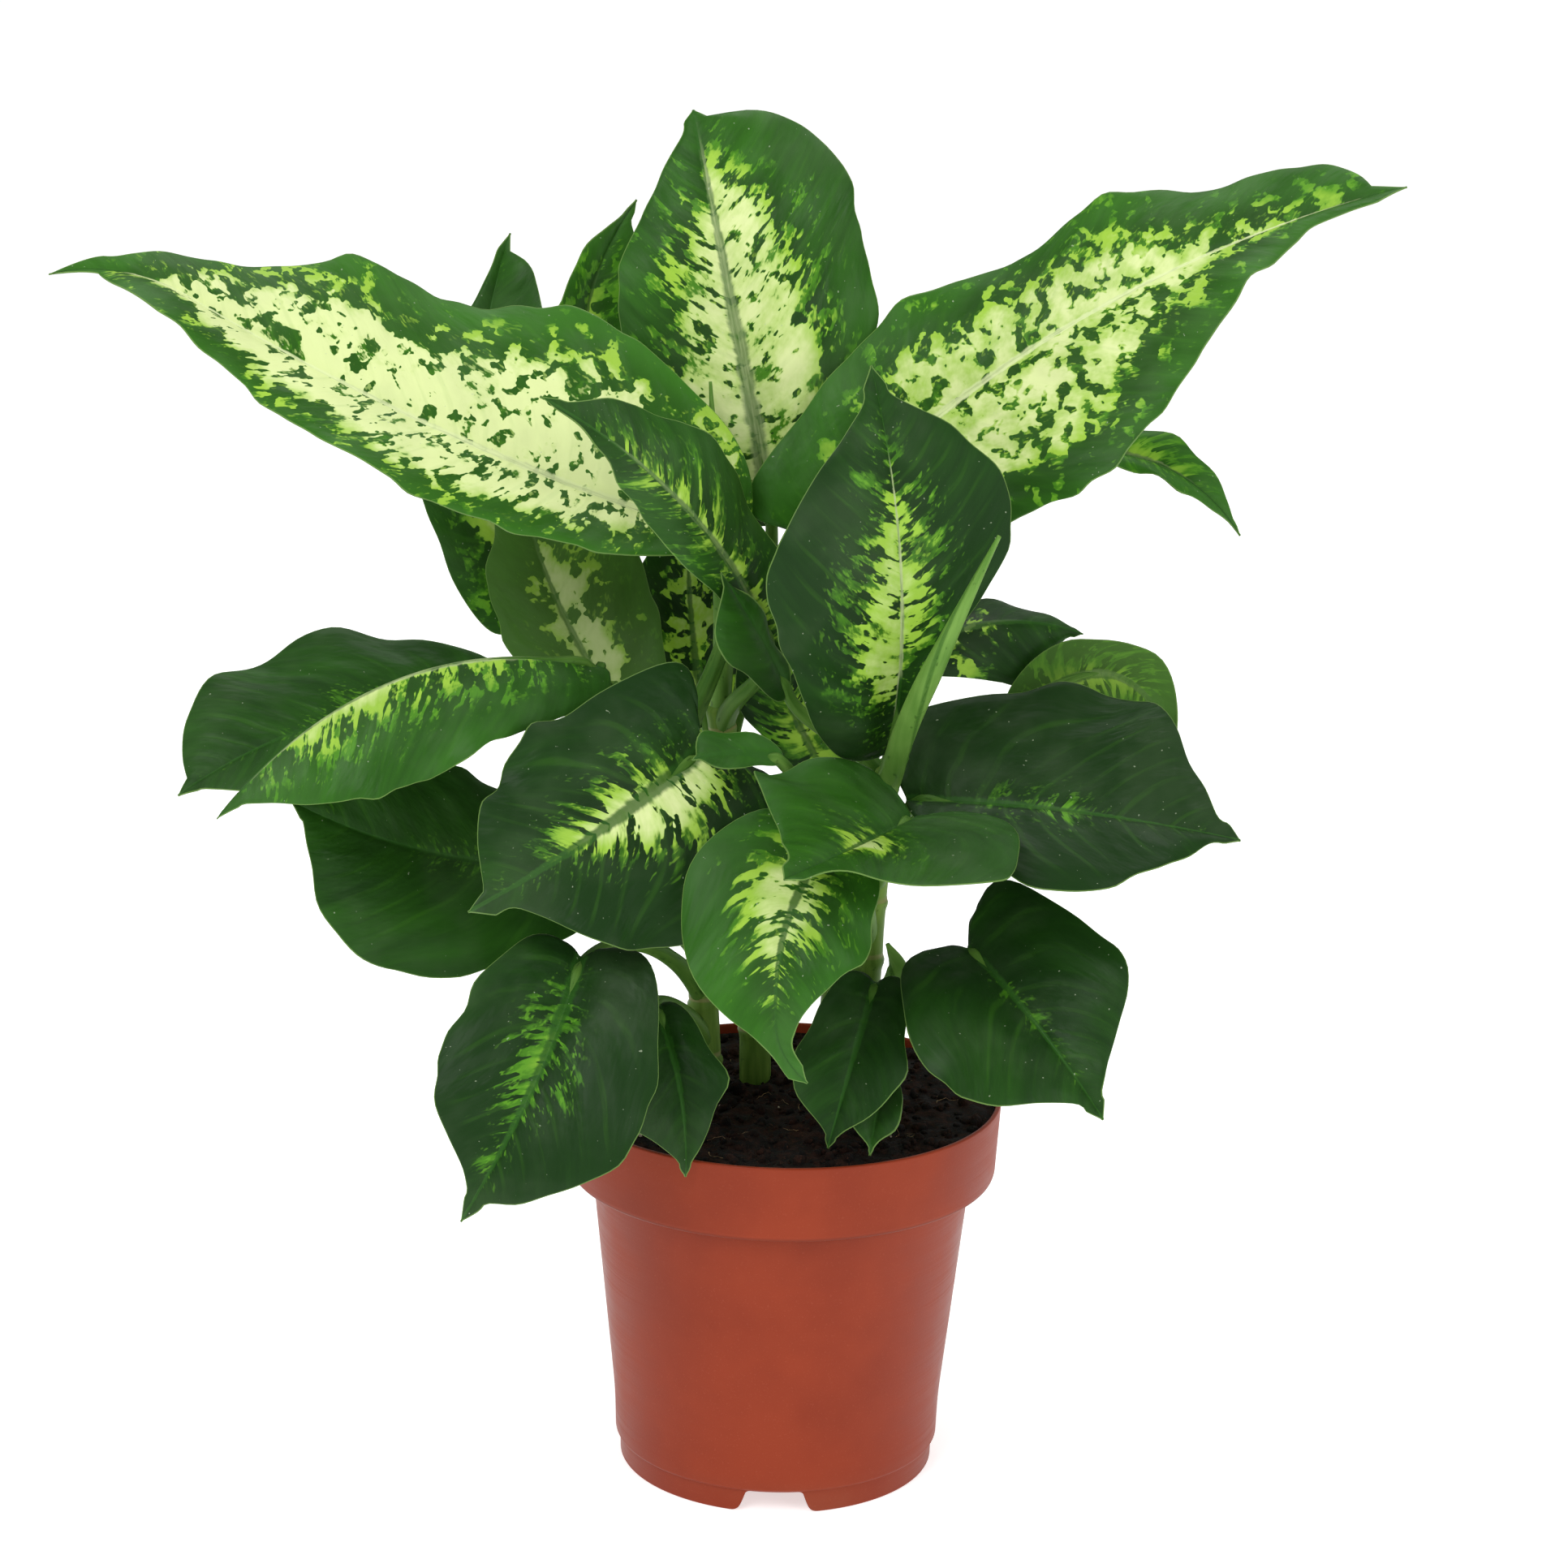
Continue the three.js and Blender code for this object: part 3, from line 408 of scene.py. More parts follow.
GROOVE = 0.35
GROOVE_WIDTH = 1.1
RIB_WIDTH = 1.5
RIB_END = 0.45  # where along the blade the stalk's rounded rib runs out
RIB_STEPS = 24
RIB_LEAST = 0.15
NARROW_GREEN = 1.2  # how far the pale middle keeps out of a narrow tip or base, in centimetres
BAND_LOWEST = -1.6
PETIOLE_SIDES = 18
PETIOLE_STEP = 1.8
CHANNEL_DEPTH = 0.16  # the channel along a petiole and the wings beside it, as shares of its radius
CHANNEL_WIDTH = 0.45
WING_HEIGHT = 0.2
WING_AT = 0.8
WING_WIDTH = 0.25
LATTICE = 64


def smooth(x, low=0.0, high=1.0):
    t = np.clip((x - low) / (high - low), 0, 1)
    return t * t * (3 - 2 * t)


def bell(x, width):
    return np.exp(-((x / width) ** 2))


def lerp(a, b, t):
    return a + (b - a) * t


def unit(v):
    return v / np.maximum(np.linalg.norm(v, axis=-1, keepdims=True), 1e-9)


def triple(*parts):
    """Three values for each point, as the materials read them."""
    return np.stack(np.broadcast_arrays(*parts), -1)


def turns(count):
    """Angles evenly round a circle."""
    return np.arange(count) * TURN / count


def circle(radius, height, angles):
    return triple(radius * np.cos(angles), radius * np.sin(angles), height)


def noise_field(seed):
    """Smooth noise from -1 to 1, with cells of size 1."""
    values = np.random.default_rng(seed).uniform(-1, 1, (LATTICE, LATTICE))

    def at(x, y):
        i, j = np.floor(x).astype(int), np.floor(y).astype(int)
        u, v = smooth(x - i), smooth(y - j)
        near, far = (
            lerp(values[i % LATTICE, k % LATTICE], values[(i + 1) % LATTICE, k % LATTICE], u)
            for k in (j, j + 1)
        )
        return lerp(near, far, v)

    return at


# Meshes
def new_object(name, data):
    thing = bpy.data.objects.new(name, data)
    bpy.context.scene.collection.objects.link(thing)
    return thing


class Piece:
    """The grids of one piece, with the values that its materials read at each point."""

    def __init__(self):
        self.points = []
        self.faces = []
        self.slots = []
        self.values = {}
        self.count = 0

    def add(self, points, faces, slots, **values):
        """slots is the number of the faces' material, or one number for each face."""
        points = np.asarray(points, float).reshape(-1, 3)
        for key, value in values.items():
            rows = np.broadcast_to(np.asarray(value, float), points.shape)
            self.values.setdefault(key, []).append(rows)
        for group in faces:
            self.faces += (group + self.count).tolist()
        self.slots += np.broadcast_to(slots, sum(len(group) for group in faces)).tolist()
        self.points.append(points)
        self.count += len(points)

    def build(self, name, materials):
        mesh = bpy.data.meshes.new(name)
        points = (np.concatenate(self.points) + AXIS_AT) * MM
        mesh.from_pydata(points.tolist(), [], self.faces)
        for material in materials:
            mesh.materials.append(material)
        mesh.polygons.foreach_set("material_index", self.slots)
        for key, rows in self.values.items():
            attribute = mesh.attributes.new(key, "FLOAT_VECTOR", "POINT")
            attribute.data.foreach_set("vector", np.concatenate(rows).astype(np.float32).ravel())
        work = bmesh.new()
        work.from_mesh(mesh)
        bmesh.ops.recalc_face_normals(work, faces=work.faces)
        work.to_mesh(mesh)
        work.free()
        mesh.shade_smooth()
        return new_object(name, mesh)


def grid_faces(rows, columns):
    """The faces of a grid whose last column joins its first."""
    i, j = np.meshgrid(np.arange(rows - 1), np.arange(columns), indexing="ij")
    k = (j + 1) % columns
    corners = [i * columns + j, i * columns + k, (i + 1) * columns + k, (i + 1) * columns + j]
    return np.stack(corners, -1).reshape(-1, 4)


def add_rings(piece, rings, ends, slot=0, **values):
    """A closed skin over rings of points, with a fan of faces to each of its two ends."""
    count, columns = rings.shape[:2]
    k = np.arange(columns)
    faces = [grid_faces(count, columns)]
    for number, first in enumerate((0, (count - 1) * columns)):
        faces.append(triple(first + k, first + (k + 1) % columns, count * columns + number))
    for key, value in values.items():
        value = np.broadcast_to(value, rings.shape)
        values[key] = np.concatenate([value.reshape(-1, 3), value[0, :1], value[-1, :1]])
    piece.add(np.concatenate([rings.reshape(-1, 3), ends]), faces, slot, **values)


def add_tube(piece, centres, radii, slot, start, **values):
    """A closed tube. radii has a radius for each ring and side, and start is where side 0 faces."""
    angles = turns(radii.shape[1])
    tangents = unit(np.gradient(centres, axis=0))
    normals = np.empty_like(centres)
    normal = np.asarray(start, float)
    for i, tangent in enumerate(tangents):
        # Each ring turns from the one before as little as it can
        normal = unit(normal - tangent * (normal @ tangent))
        normals[i] = normal
    others = np.cross(tangents, normals)
    rings = (
        centres[:, None]
        + normals[:, None] * (radii * np.cos(angles))[..., None]
        + others[:, None] * (radii * np.sin(angles))[..., None]
    )
    add_rings(piece, rings, [centres[0], centres[-1]], slot, **values)


# Curves
def catmull_rom(points, count):
    """Points along the centripetal curve that the solids use."""
    points = [np.asarray(p, float) for p in points]
    before = 2 * points[0] - points[1]
    after = 2 * points[-1] - points[-2]
    line = [before, *points, after]
    found = []
    for i in range(len(points) - 1):
        p0, p1, p2, p3 = line[i:i + 4]
        d0, d1, d2 = (math.sqrt(np.linalg.norm(b - a)) for a, b in ((p0, p1), (p1, p2), (p2, p3)))
        m1 = ((p1 - p0) / d0 - (p2 - p0) / (d0 + d1) + (p2 - p1) / d1) * d1
        m2 = ((p2 - p1) / d1 - (p3 - p1) / (d1 + d2) + (p3 - p2) / d2) * d1
        t = np.linspace(0, 1, count, endpoint=False)[:, None]
        cubic = 2 * p1 - 2 * p2 + m1 + m2
        square = -3 * p1 + 3 * p2 - 2 * m1 - m2
        found.append(p1 + m1 * t + square * t**2 + cubic * t**3)
    return np.concatenate([*found, [points[-1]]])


def length_of(line):
    return np.linalg.norm(np.diff(line, axis=0), axis=1).sum()


def even_steps(line, count):
    """The line again with count points at even distances, those distances as shares, its length."""
    lengths = np.concatenate([[0], np.cumsum(np.linalg.norm(np.diff(line, axis=0), axis=1))])
    shares = np.linspace(0, 1, count)
    at = shares * lengths[-1]
    return np.stack([np.interp(at, lengths, line[:, k]) for k in range(3)], -1), shares, lengths[-1]


def cane_line(name):
    return catmull_rom(CANES[name]["points"], 100)


def cane_point(name, height):
    line = cane_line(name)
    return np.array([np.interp(height, line[:, 2], line[:, k]) for k in range(3)])


# Leaves
class LeafShape:
    """The blade's form. s runs from base to tip, v from -1 at the left margin to 1 at the right."""

    def __init__(self, leaf):
        self.leaf = leaf
        self.base, self.mid, self.tip, self.hook = (
            np.array(leaf[key], float) for key in ("base", "mid", "tip", "hook")
        )
        to_mid = np.linalg.norm(self.mid - self.base)
        to_tip = np.linalg.norm(self.tip - self.mid)
        self.length = to_mid + to_tip
        self.widest = to_mid / self.length
        self.along = self.tangent(np.array(self.widest))
        arms = [np.array(leaf[key], float) - self.mid for key in ("left", "right")]
        arms = [arm - self.along * (arm @ self.along) for arm in arms]
        self.side = unit(unit(arms[1]) - unit(arms[0]))
        self.up = np.cross(self.side, self.along)
        self.rise = np.array([
            math.atan2(arm @ self.up, sign * (arm @ self.side)) for arm, sign in zip(arms, (-1, 1))
        ])
        self.reach = np.array([np.linalg.norm(arm) for arm in arms])
        self.peaks = np.array(leaf["peak"] or [self.widest] * 2)
        self.round, self.point, self.lobe = (
            np.array(leaf[key]) for key in ("round", "point", "lobe")
        )

    def midrib(self, s):
        s = np.asarray(s, float)[..., None]
        w = self.widest
        bend = np.maximum(0, (s - HOOK_FROM) / (1 - HOOK_FROM))
        return (
            self.base * ((s - w) * (s - 1) / w)
            + self.mid * (s * (s - 1) / (w * (w - 1)))
            + self.tip * (s * (s - w) / (1 - w))
            + self.hook * bend**2
        )

    def tangent(self, s):
        return unit(self.midrib(s + TANGENT_STEP) - self.midrib(s - TANGENT_STEP))

    def outline(self, s, half):
        peak = self.peaks[half]
        near = np.maximum(0, 1 - (1 - np.minimum(s / peak, 1)) ** 2) ** self.round[half]
        drip = self.leaf["drip"]
        blunt = np.clip((s - peak) / (1 - peak - drip), 0, 1)
        blunt = (1 - blunt**2) ** self.point[half]
        drawn = DRIP_WIDTH * np.clip((1 - s) / drip, 0, 1)
        return np.where(s < peak, near, np.cbrt(blunt**3 + drawn**3))

    def width(self, s, half):
        share = self.outline(np.clip(s, 0, 1), half) / self.outline(self.widest, half)
        return np.maximum(MIN_HALF_WIDTH, self.reach[half] * share)

    def up_at(self, s):
        """The midrib's direction, and the direction of the upper face beside it."""
        direction = self.tangent(s)
        cosine = (direction @ self.along)[..., None]
        axis = np.cross(np.broadcast_to(self.along, direction.shape), direction)
        up = (
            self.up * cosine
            + np.cross(axis, self.up)
            + axis * ((axis @ self.up)[..., None] / (1 + cosine))
        )
        roll = (math.radians(self.leaf["twist"]) * (s - self.widest))[..., None]
        return direction, up * np.cos(roll) + np.cross(direction, up) * np.sin(roll)

    def point_at(self, s, v):
        """The blade's points, its half width there, and how far they lie towards the tip."""
        direction, up = self.up_at(s)
        sideways = np.cross(direction, up)
        half = (v >= 0).astype(int)
        sign = np.where(v < 0, -1.0, 1.0)
        out = np.abs(v)
        near_base = np.clip(1 - s / self.widest, 0, 1) ** 2
        near_tip = np.clip((s - self.widest) / (1 - self.widest), 0, 1) ** 2
        start = (
            self.rise[half]
            + math.radians(self.leaf["cup"]) * near_base
            + math.radians(self.leaf["keel"]) * near_tip
            - CURL / 2
        )
        end = start + CURL * out
        width = self.width(s, half)
        bow = width / (2 * math.sin(CURL / 2))
        height, count, phase = self.leaf["wave"]
        angle = TURN * count * s + phase + np.where(v < 0, WAVE_OFFSET, 0)
        wave = height * out**2 * np.sin(math.pi * np.clip(s, 0, 1)) * np.sin(angle)
        ahead = width * out * (VEIN_SWEEP * out - self.lobe[half] * bell(s, LOBE_FADE))
        aside = sign * (bow * (np.sin(end) - np.sin(start)) + WAVE_STRETCH * wave)
        above = bow * (np.cos(start) - np.cos(end)) + wave
        points = self.midrib(s)
        for way, distance in ((sideways, aside), (up, above), (direction, ahead)):
            points = points + way * distance[..., None]
        return points, width, ahead


def surface_normals(points):
    return unit(np.cross(np.gradient(points, axis=1), np.gradient(points, axis=0)))


def blade_grid(shape):
    """Where a blade's points lie, closer together at its ends, midrib and margins."""
    rows = int(np.clip(shape.length / ROW_STEP, *ROW_COUNTS))
    columns = int(np.clip(shape.reach.max() / COLUMN_STEP, *COLUMN_COUNTS))
    even = np.linspace(0, 1, rows + 1)
    down = lerp(0.5 - 0.5 * np.cos(math.pi * even), even, EVEN_ROWS)
    out = np.linspace(0, 1, columns) ** COLUMN_CROWD
    out = np.concatenate([out[:-1], [MARGIN_COLUMN, 1]])
    return np.meshgrid(down, np.concatenate([-out[:0:-1], out]), indexing="ij")


def blade_surface(shape, s, v, field):
    """The middle of a blade, its half width, and each point's place along the side veins."""
    run = s * shape.length
    margin = np.abs(v) ** 4 * smooth(s, 0.02, 0.2) * smooth(1 - s, 0.02, 0.2)
    # The margin runs in and out a little within the blade's own surface
    nick = NICK * field(run / NICK_SIZE, 30 + np.sign(v)) * margin
    half_width = shape.width(s, (v >= 0).astype(int))
    points, width, ahead = shape.point_at(s, v * (1 + nick / np.maximum(half_width, NICK_WIDTH)))
    distance = width * v
    reach = np.abs(distance)
    # At the base the side veins run a little back, and further on towards the tip
    lean = VEIN_LEAN * (1.3 * smooth(s, 0, 0.6) - 0.3)
    vein = run + ahead - lean * reach - VEIN_BEND * reach**2 / width

    # Relief: quilting between the side veins, puckers, a rippled margin and a grooved midrib
    calm = smooth(reach, 1.2, 6) * smooth(width - reach, 0.5, 6)
    relief = (
        calm * QUILT * -np.cos(TURN * vein / VEIN_SPACING)
        + calm * PUCKER * field(vein / PUCKER_SIZE + 20, distance / PUCKER_SIZE + 20)
        + RIPPLE * field(run / RIPPLE_SIZE, 10 + np.sign(v)) * margin
        - GROOVE * (1 - 0.6 * s) * bell(distance, GROOVE_WIDTH)
    )
    return points + surface_normals(points) * relief[..., None], width, vein


def blade_shell(s, points, distance, edge):
    """A blade's upper face and then its lower one, whose midrib stands proud."""
    normals = surface_normals(points)
    thickness = lerp(MARGIN_THICKNESS, HALF_THICKNESS, smooth(edge, 0, 1.2))
    rib = RIB_DEPTH * (1 - s) * bell(distance, RIB_WIDTH) * smooth(edge, 0, 1.5)
    upper = points + normals * thickness[..., None]
    lower = points - normals * (thickness + rib)[..., None]
    return np.concatenate([upper, lower[:, ::-1]], 1)


def blade_faces(rows, columns):
    """The faces of a blade's shell with its two ends, and each one's material."""
    ring = 2 * columns
    place = np.tile(np.arange(ring), rows - 1)
    lower = (place >= columns) & (place < ring - 1)
    k = np.arange(columns - 1)
    end = np.stack([k, k + 1, ring - 2 - k, ring - 1 - k], -1)
    faces = [grid_faces(rows, ring), end, end + (rows - 1) * ring]
    return faces, np.concatenate([lower, np.zeros(2 * len(end))]).astype(int)


def pale_band(leaf, s, v, width):
    """How deep in the pale middle each point lies, in centimetres."""
    left, right = np.broadcast_to(leaf["pale"], (2, len(PALE_PLACES)))
    share = np.where(v < 0, np.interp(s, PALE_PLACES, left), np.interp(s, PALE_PLACES, right))
    inside = (share * width - width * np.abs(v)) / 10
    return np.clip(inside - NARROW_GREEN * (1 - smooth(width, 2, 9)), BAND_LOWEST, leaf["depth"])


def add_blade(piece, shape, seed):
    leaf = shape.leaf
    s, v = blade_grid(shape)
    points, width, vein = blade_surface(shape, s, v, noise_field(seed))
    distance = width * v
    edge = width - np.abs(distance)
    streak = np.where(v < 0, *np.broadcast_to(leaf["streak"], 2))
    rib_width = lerp(1.7, 0.4, smooth(s, 0, 1)) * leaf["broad"]
    values = {
        "vein": triple(vein, distance, edge),
        "mark": triple(pale_band(leaf, s, v, width), streak, seed),
        "tone": triple(leaf["fleck"] + 0 * s, leaf["rib"], leaf["fresh"]),
        "hue": triple(leaf["cream"], leaf["halo"], rib_width),
    }
    for key, rows in values.items():
        values[key] = np.concatenate([rows, rows[:, ::-1]], 1).reshape(-1, 3)
    faces, slots = blade_faces(*s.shape)
    piece.add(blade_shell(s, points, distance, edge), faces, slots, **values)


def stalk_line(shape):
    """A petiole's line from its cane to its blade's base, as even_steps gives it."""
    leaf = shape.leaf
    root = cane_point(leaf["cane"], leaf["rise"])
    higher = cane_point(leaf["cane"], leaf["rise"] + CANE_SAMPLE)
    end = shape.midrib(np.array(PETIOLE_JOIN))
    length = np.linalg.norm(end - root)
    arrive = unit(shape.tangent(np.array(0.0)) + np.array([0, 0, PETIOLE_LIFT]))
    outward = unit((end - root) * np.array([1, 1, 0]))
    leave = unit(unit(higher - root) + outward * leaf["spread"])
    first = root + leave * PETIOLE_LEAVE * length
    second = end - arrive * PETIOLE_ARRIVE * length
    t = np.linspace(0, 1, 60)[:, None]
    line = (
        root * (1 - t) ** 3
        + first * 3 * t * (1 - t) ** 2
        + second * 3 * t**2 * (1 - t)
        + end * t**3
    )
    return even_steps(line, max(20, int(length / PETIOLE_STEP)))


def rib_line(shape):
    """The line and radii of the rounded rib that the stalk runs on as, under the blade."""
    under = np.linspace(PETIOLE_JOIN, RIB_END, RIB_STEPS)[1:]
    _, up = shape.up_at(under)
    fade = 1 - (under - PETIOLE_JOIN) / (RIB_END - PETIOLE_JOIN)
    thin = PETIOLE_END * fade**0.8 + RIB_LEAST
    sink = smooth(under, PETIOLE_JOIN, PETIOLE_JOIN + 0.1) * (0.45 + 0.5 * thin)
    return shape.midrib(under) - up * sink[:, None], thin


def add_petiole(piece, shape, seed):
    stalk, shares, length = stalk_line(shape)
    rib, thin = rib_line(shape)
    centres = np.concatenate([stalk, rib])
    radii = np.concatenate([lerp(PETIOLE_ROOT, PETIOLE_END, shares**PETIOLE_TAPER), thin])

    # A channel runs along its upper side, with wings beside it near the cane
    angles = turns(PETIOLE_SIDES)
    angles = np.where(angles > math.pi, angles - TURN, angles)
    along = np.linspace(0, 1, len(centres))
    channel = -CHANNEL_DEPTH * bell(angles, CHANNEL_WIDTH)
    wings = WING_HEIGHT * (bell(angles - WING_AT, WING_WIDTH) + bell(angles + WING_AT, WING_WIDTH))
    sheath = 1 - smooth(along, 0.25, 0.5)
    form = 1 + np.outer(smooth(along, 0.05, 0.2), channel) + np.outer(sheath, wings)
    radii = radii[:, None] * form

    # The directions across are carried back from the blade, so that the channel faces up
    start = shape.up_at(np.array([RIB_END]))[1][0]
    run = np.linspace(length + 30, 0, len(centres))
    vein = triple(run[:, None], angles * 2.5, 9.0)
    add_tube(piece, centres[::-1], radii[::-1], 2, start, vein=vein, mark=[0, 0, seed], tone=0, hue=0)


def make_leaf(name, seed):
    shape = LeafShape(LEAVES[name])
    piece = Piece()
    add_blade(piece, shape, seed)
    add_petiole(piece, shape, seed)
    faces = [leaf_under, leaf_upper] if shape.leaf["turned"] else [leaf_upper, leaf_under]
    return piece.build("fine_" + name, [*faces, stalk_green])


# Canes: glossy stems with a raised ring and a scar at each node
CANE_SIDES = 36
CANE_STEP = 0.9
CANE_DOME = 3
RING_SWELL = 0.55
RING_WIDTH = 1.5
RING_TILT = 1.1
SCAR_DEPTH = 0.3
SCAR_WIDTH = 0.45
CANE_LUMPS = 0.12
CANE_LUMP_SIZE = 9


def make_cane(name, seed):
    line = cane_line(name)
    line, shares, length = even_steps(line, int(length_of(line) / CANE_STEP))
    foot, top = CANES[name]["radius"]
    nodes = 2 * round(length / CANE_NODE_STEP)
    radii = lerp(foot, top, shares)[:, None] * np.ones(CANE_SIDES)
    angles = turns(CANE_SIDES)
    at = (shares * length)[:, None]
    for i in range(1, nodes, 2):
        # Each ring is a little tilted, on alternate sides
        off = at - (i / nodes * length + RING_TILT * np.cos(angles + i * 1.6 + seed))
        radii += RING_SWELL * bell(off, RING_WIDTH)
        radii -= SCAR_DEPTH * bell(off - RING_WIDTH, SCAR_WIDTH)
    radii += CANE_LUMPS * noise_field(seed)(at / CANE_LUMP_SIZE, np.cos(angles)[None] * 2 + 10)
    radii *= 1 - smooth(at, length - CANE_DOME, length) ** 2 * 0.75
    # The distance to the nearest scar is for the bark's colour
    scars = np.arange(1, nodes, 2) / nodes * length + RING_WIDTH
    scar = np.abs(at - scars).min(1, keepdims=True)
    vein = triple(at, (angles - math.pi) * 4, scar)
    piece = Piece()
    add_tube(piece, line, radii, 0, [1, 0, 0], vein=vein, mark=[0, 0, seed])
    return piece.build("fine_" + name, [cane_green])


# Rolled leaves and sprouts
SHOOT_SIDES = 32
SHOOT_STEP = 0.9
ROLL_TURNS = 0.8


def make_shoot(name):
    shoot = SHOOTS[name]
    line = catmull_rom([cane_point(shoot["cane"], shoot["rise"]), *shoot["points"]], 40)
    line, shares, length = even_steps(line, max(30, int(length_of(line) / SHOOT_STEP)))
    # Smooth between the radii, where the solid goes straight
    radius = np.interp(shares, np.linspace(0, 1, len(shoot["radius"])), shoot["radius"])
    blur = np.hanning(max(3, len(shares) // 12 * 2 + 1))
    radius = np.pad(radius, len(blur) // 2, mode="edge")
    radius = np.convolve(radius, blur / blur.sum(), mode="valid")
    angles = np.arange(SHOOT_SIDES) / SHOOT_SIDES
    seam = (angles + ROLL_TURNS * shares[:, None]) % 1
    form = 1 + shoot["roll"] * (seam - 0.5) * smooth(shares, 0.05, 0.3)[:, None]
    form += 0.03 * np.cos(TURN * 3 * seam)
    vein = triple((shares * length)[:, None], (seam - 0.5) * 12, np.minimum(seam, 1 - seam) * 18)
    piece = Piece()
    start = [0.3, 0.9, 0.2]
    add_tube(piece, line, radius[:, None] * form, 0, start, vein=vein, mark=[0, 0, shoot["seed"]])
    return piece.build("fine_" + name, [shoot_green])


# Soil: a lumpy top with crumbs, fibres and pale grit lying in it
SOIL_COLUMNS = 150
SOIL_ROWS = 56
SOIL_RIM = RIM_RADIUS - (WALL + SOIL_GAP) - 0.15
SOIL_MIDDLE = 2
SOIL_RELIEF = [[1.1, 11, 20], [0.9, 3.6, 40], [0.4, 1.5, 50]]  # height, size and place in its noise
SOIL_SINK = 0.5
# How many, the least size, what chance adds to it and its power, and how proud they lie
LUMPS = [[760, 0.5, 1.5, 2.2, 0], [16, 0.3, 0.35, 1, 0.3]]
LUMP_EDGE = 2
FIBRES = 45
FIBRE_EDGE = 9
FIBRE_POINTS = 10
FIBRE_SIDES = 6
soil_fields = [noise_field(seed) for seed in (11, 12, 13)]


def soil_height(x, y):
    radius = np.hypot(x, y)
    rim = RIM_RADIUS - WALL
    relief = 0
    for field, (height, size, place) in zip(soil_fields, SOIL_RELIEF):
        relief = relief + height * field(x / size + place, y / size + place)
    mound = SOIL_EDGE + SOIL_MOUND * (1 - radius / rim)
    return mound + relief * smooth(rim - radius, 0, 2) - SOIL_SINK


def soil_point(x, y):
    return np.array([x, y, float(soil_height(np.array(x), np.array(y)))])


def scattered(rng, edge):
    """A random place on the soil, no nearer to its rim than edge."""
    radius = (SOIL_RIM - edge) * math.sqrt(rng.uniform(0, 1))
    angle = rng.uniform(0, TURN)
    return soil_point(radius * math.cos(angle), radius * math.sin(angle))


def make_bed():
    """The soil itself, which fills the pot with a small gap all round."""
    inset = WALL + SOIL_GAP
    foot = FLOOR_UNDERSIDE + WALL + SOIL_GAP
    angles = turns(SOIL_COLUMNS)
    rings = [
        circle(SOIL_MIDDLE, foot, angles),
        circle(WALL_FOOT_RADIUS - inset, foot, angles),
        circle(WALL_TOP_RADIUS - inset, COLLAR_BOTTOM - WALL + SOIL_GAP, angles),
        circle(COLLAR_FOOT_RADIUS - inset - 0.4, COLLAR_BOTTOM + WALL + SOIL_GAP, angles),
    ]
    for share in np.linspace(1, 0.02, SOIL_ROWS):
        ring = circle(SOIL_RIM * share, 0, angles)
        rings.append(triple(ring[:, 0], ring[:, 1], soil_height(ring[:, 0], ring[:, 1])))
    bed = Piece()
    add_rings(bed, np.stack(rings), [rings[0].mean(0), rings[-1].mean(0)])
    return bed.build("fine_soil", [soil_dark])


def make_crumbs(rng):
    """Small uneven lumps: crumbs of soil and then pale grit."""
    ball = bmesh.new()
    bmesh.ops.create_icosphere(ball, subdivisions=2, radius=1)
    sphere = np.array([v.co[:] for v in ball.verts])
    faces = [np.array([[v.index for v in f.verts] for f in ball.faces])]
    ball.free()
    crumbs = Piece()
    for slot, (count, least, more, power, proud) in enumerate(LUMPS):
        for _ in range(count):
            size = least + more * rng.random() ** power
            centre = scattered(rng, LUMP_EDGE) + [0, 0, proud]
            stretch = rng.uniform(0.6, 1.3, 3)
            pull = rng.normal(0, 1, (5, 3))
            dents = sum(np.sin(sphere @ p * 2.2 + k) for k, p in enumerate(pull))
            points = sphere * stretch * (1 + 0.08 * dents)[:, None] * size
            turn = rng.uniform(0, TURN)
            cosine, sine = math.cos(turn), math.sin(turn)
            spin = np.array([[cosine, sine, 0], [-sine, cosine, 0], [0, 0, 1]])
            crumbs.add(points @ spin + centre, faces, slot)
    return crumbs.build("soil_crumbs", [soil_dark, grit_pale])


def make_fibres(rng):
    fibres = Piece()
    for _ in range(FIBRES):
        start = scattered(rng, FIBRE_EDGE)
        heading = rng.uniform(0, TURN)
        bend = rng.uniform(-0.5, 0.5)
        length = rng.uniform(3, 9)
        line = []
        for share in np.linspace(0, 1, FIBRE_POINTS):
            angle = heading + bend * share * 3
            x = start[0] + length * share * math.cos(angle)
            y = start[1] + length * share * math.sin(angle)
            lift = 0.25 + 0.7 * math.sin(math.pi * share) * rng.random()
            line.append(soil_point(x, y) + [0, 0, lift])
        radii = rng.uniform(0.05, 0.11) * np.linspace(1, 0.5, FIBRE_POINTS)
        add_tube(fibres, np.array(line), np.outer(radii, np.ones(FIBRE_SIDES)), 0, [0, 0, 1])
    return fibres.build("soil_fibres", [fibre_brown])


# Pot: a lathed wall whose foot ring has three notches, and a floor with drain holes
POT_COLUMNS = 360
POT_MIDDLE = 8
NOTCH_CORNER = 2.2
NOTCH_TOP_CORNER = 1.2
NOTCH_COLUMNS = 34
NOTCH_LEDGE = 0.2  # how far below the foot ring's top the notches end
DRAIN_SIDES = 40
DRAIN_OVERLAP = 2
SHARP_ANGLE = math.radians(35)
notch_middles = [TURN * i / NOTCHES - TURN / 4 for i in range(NOTCHES)]


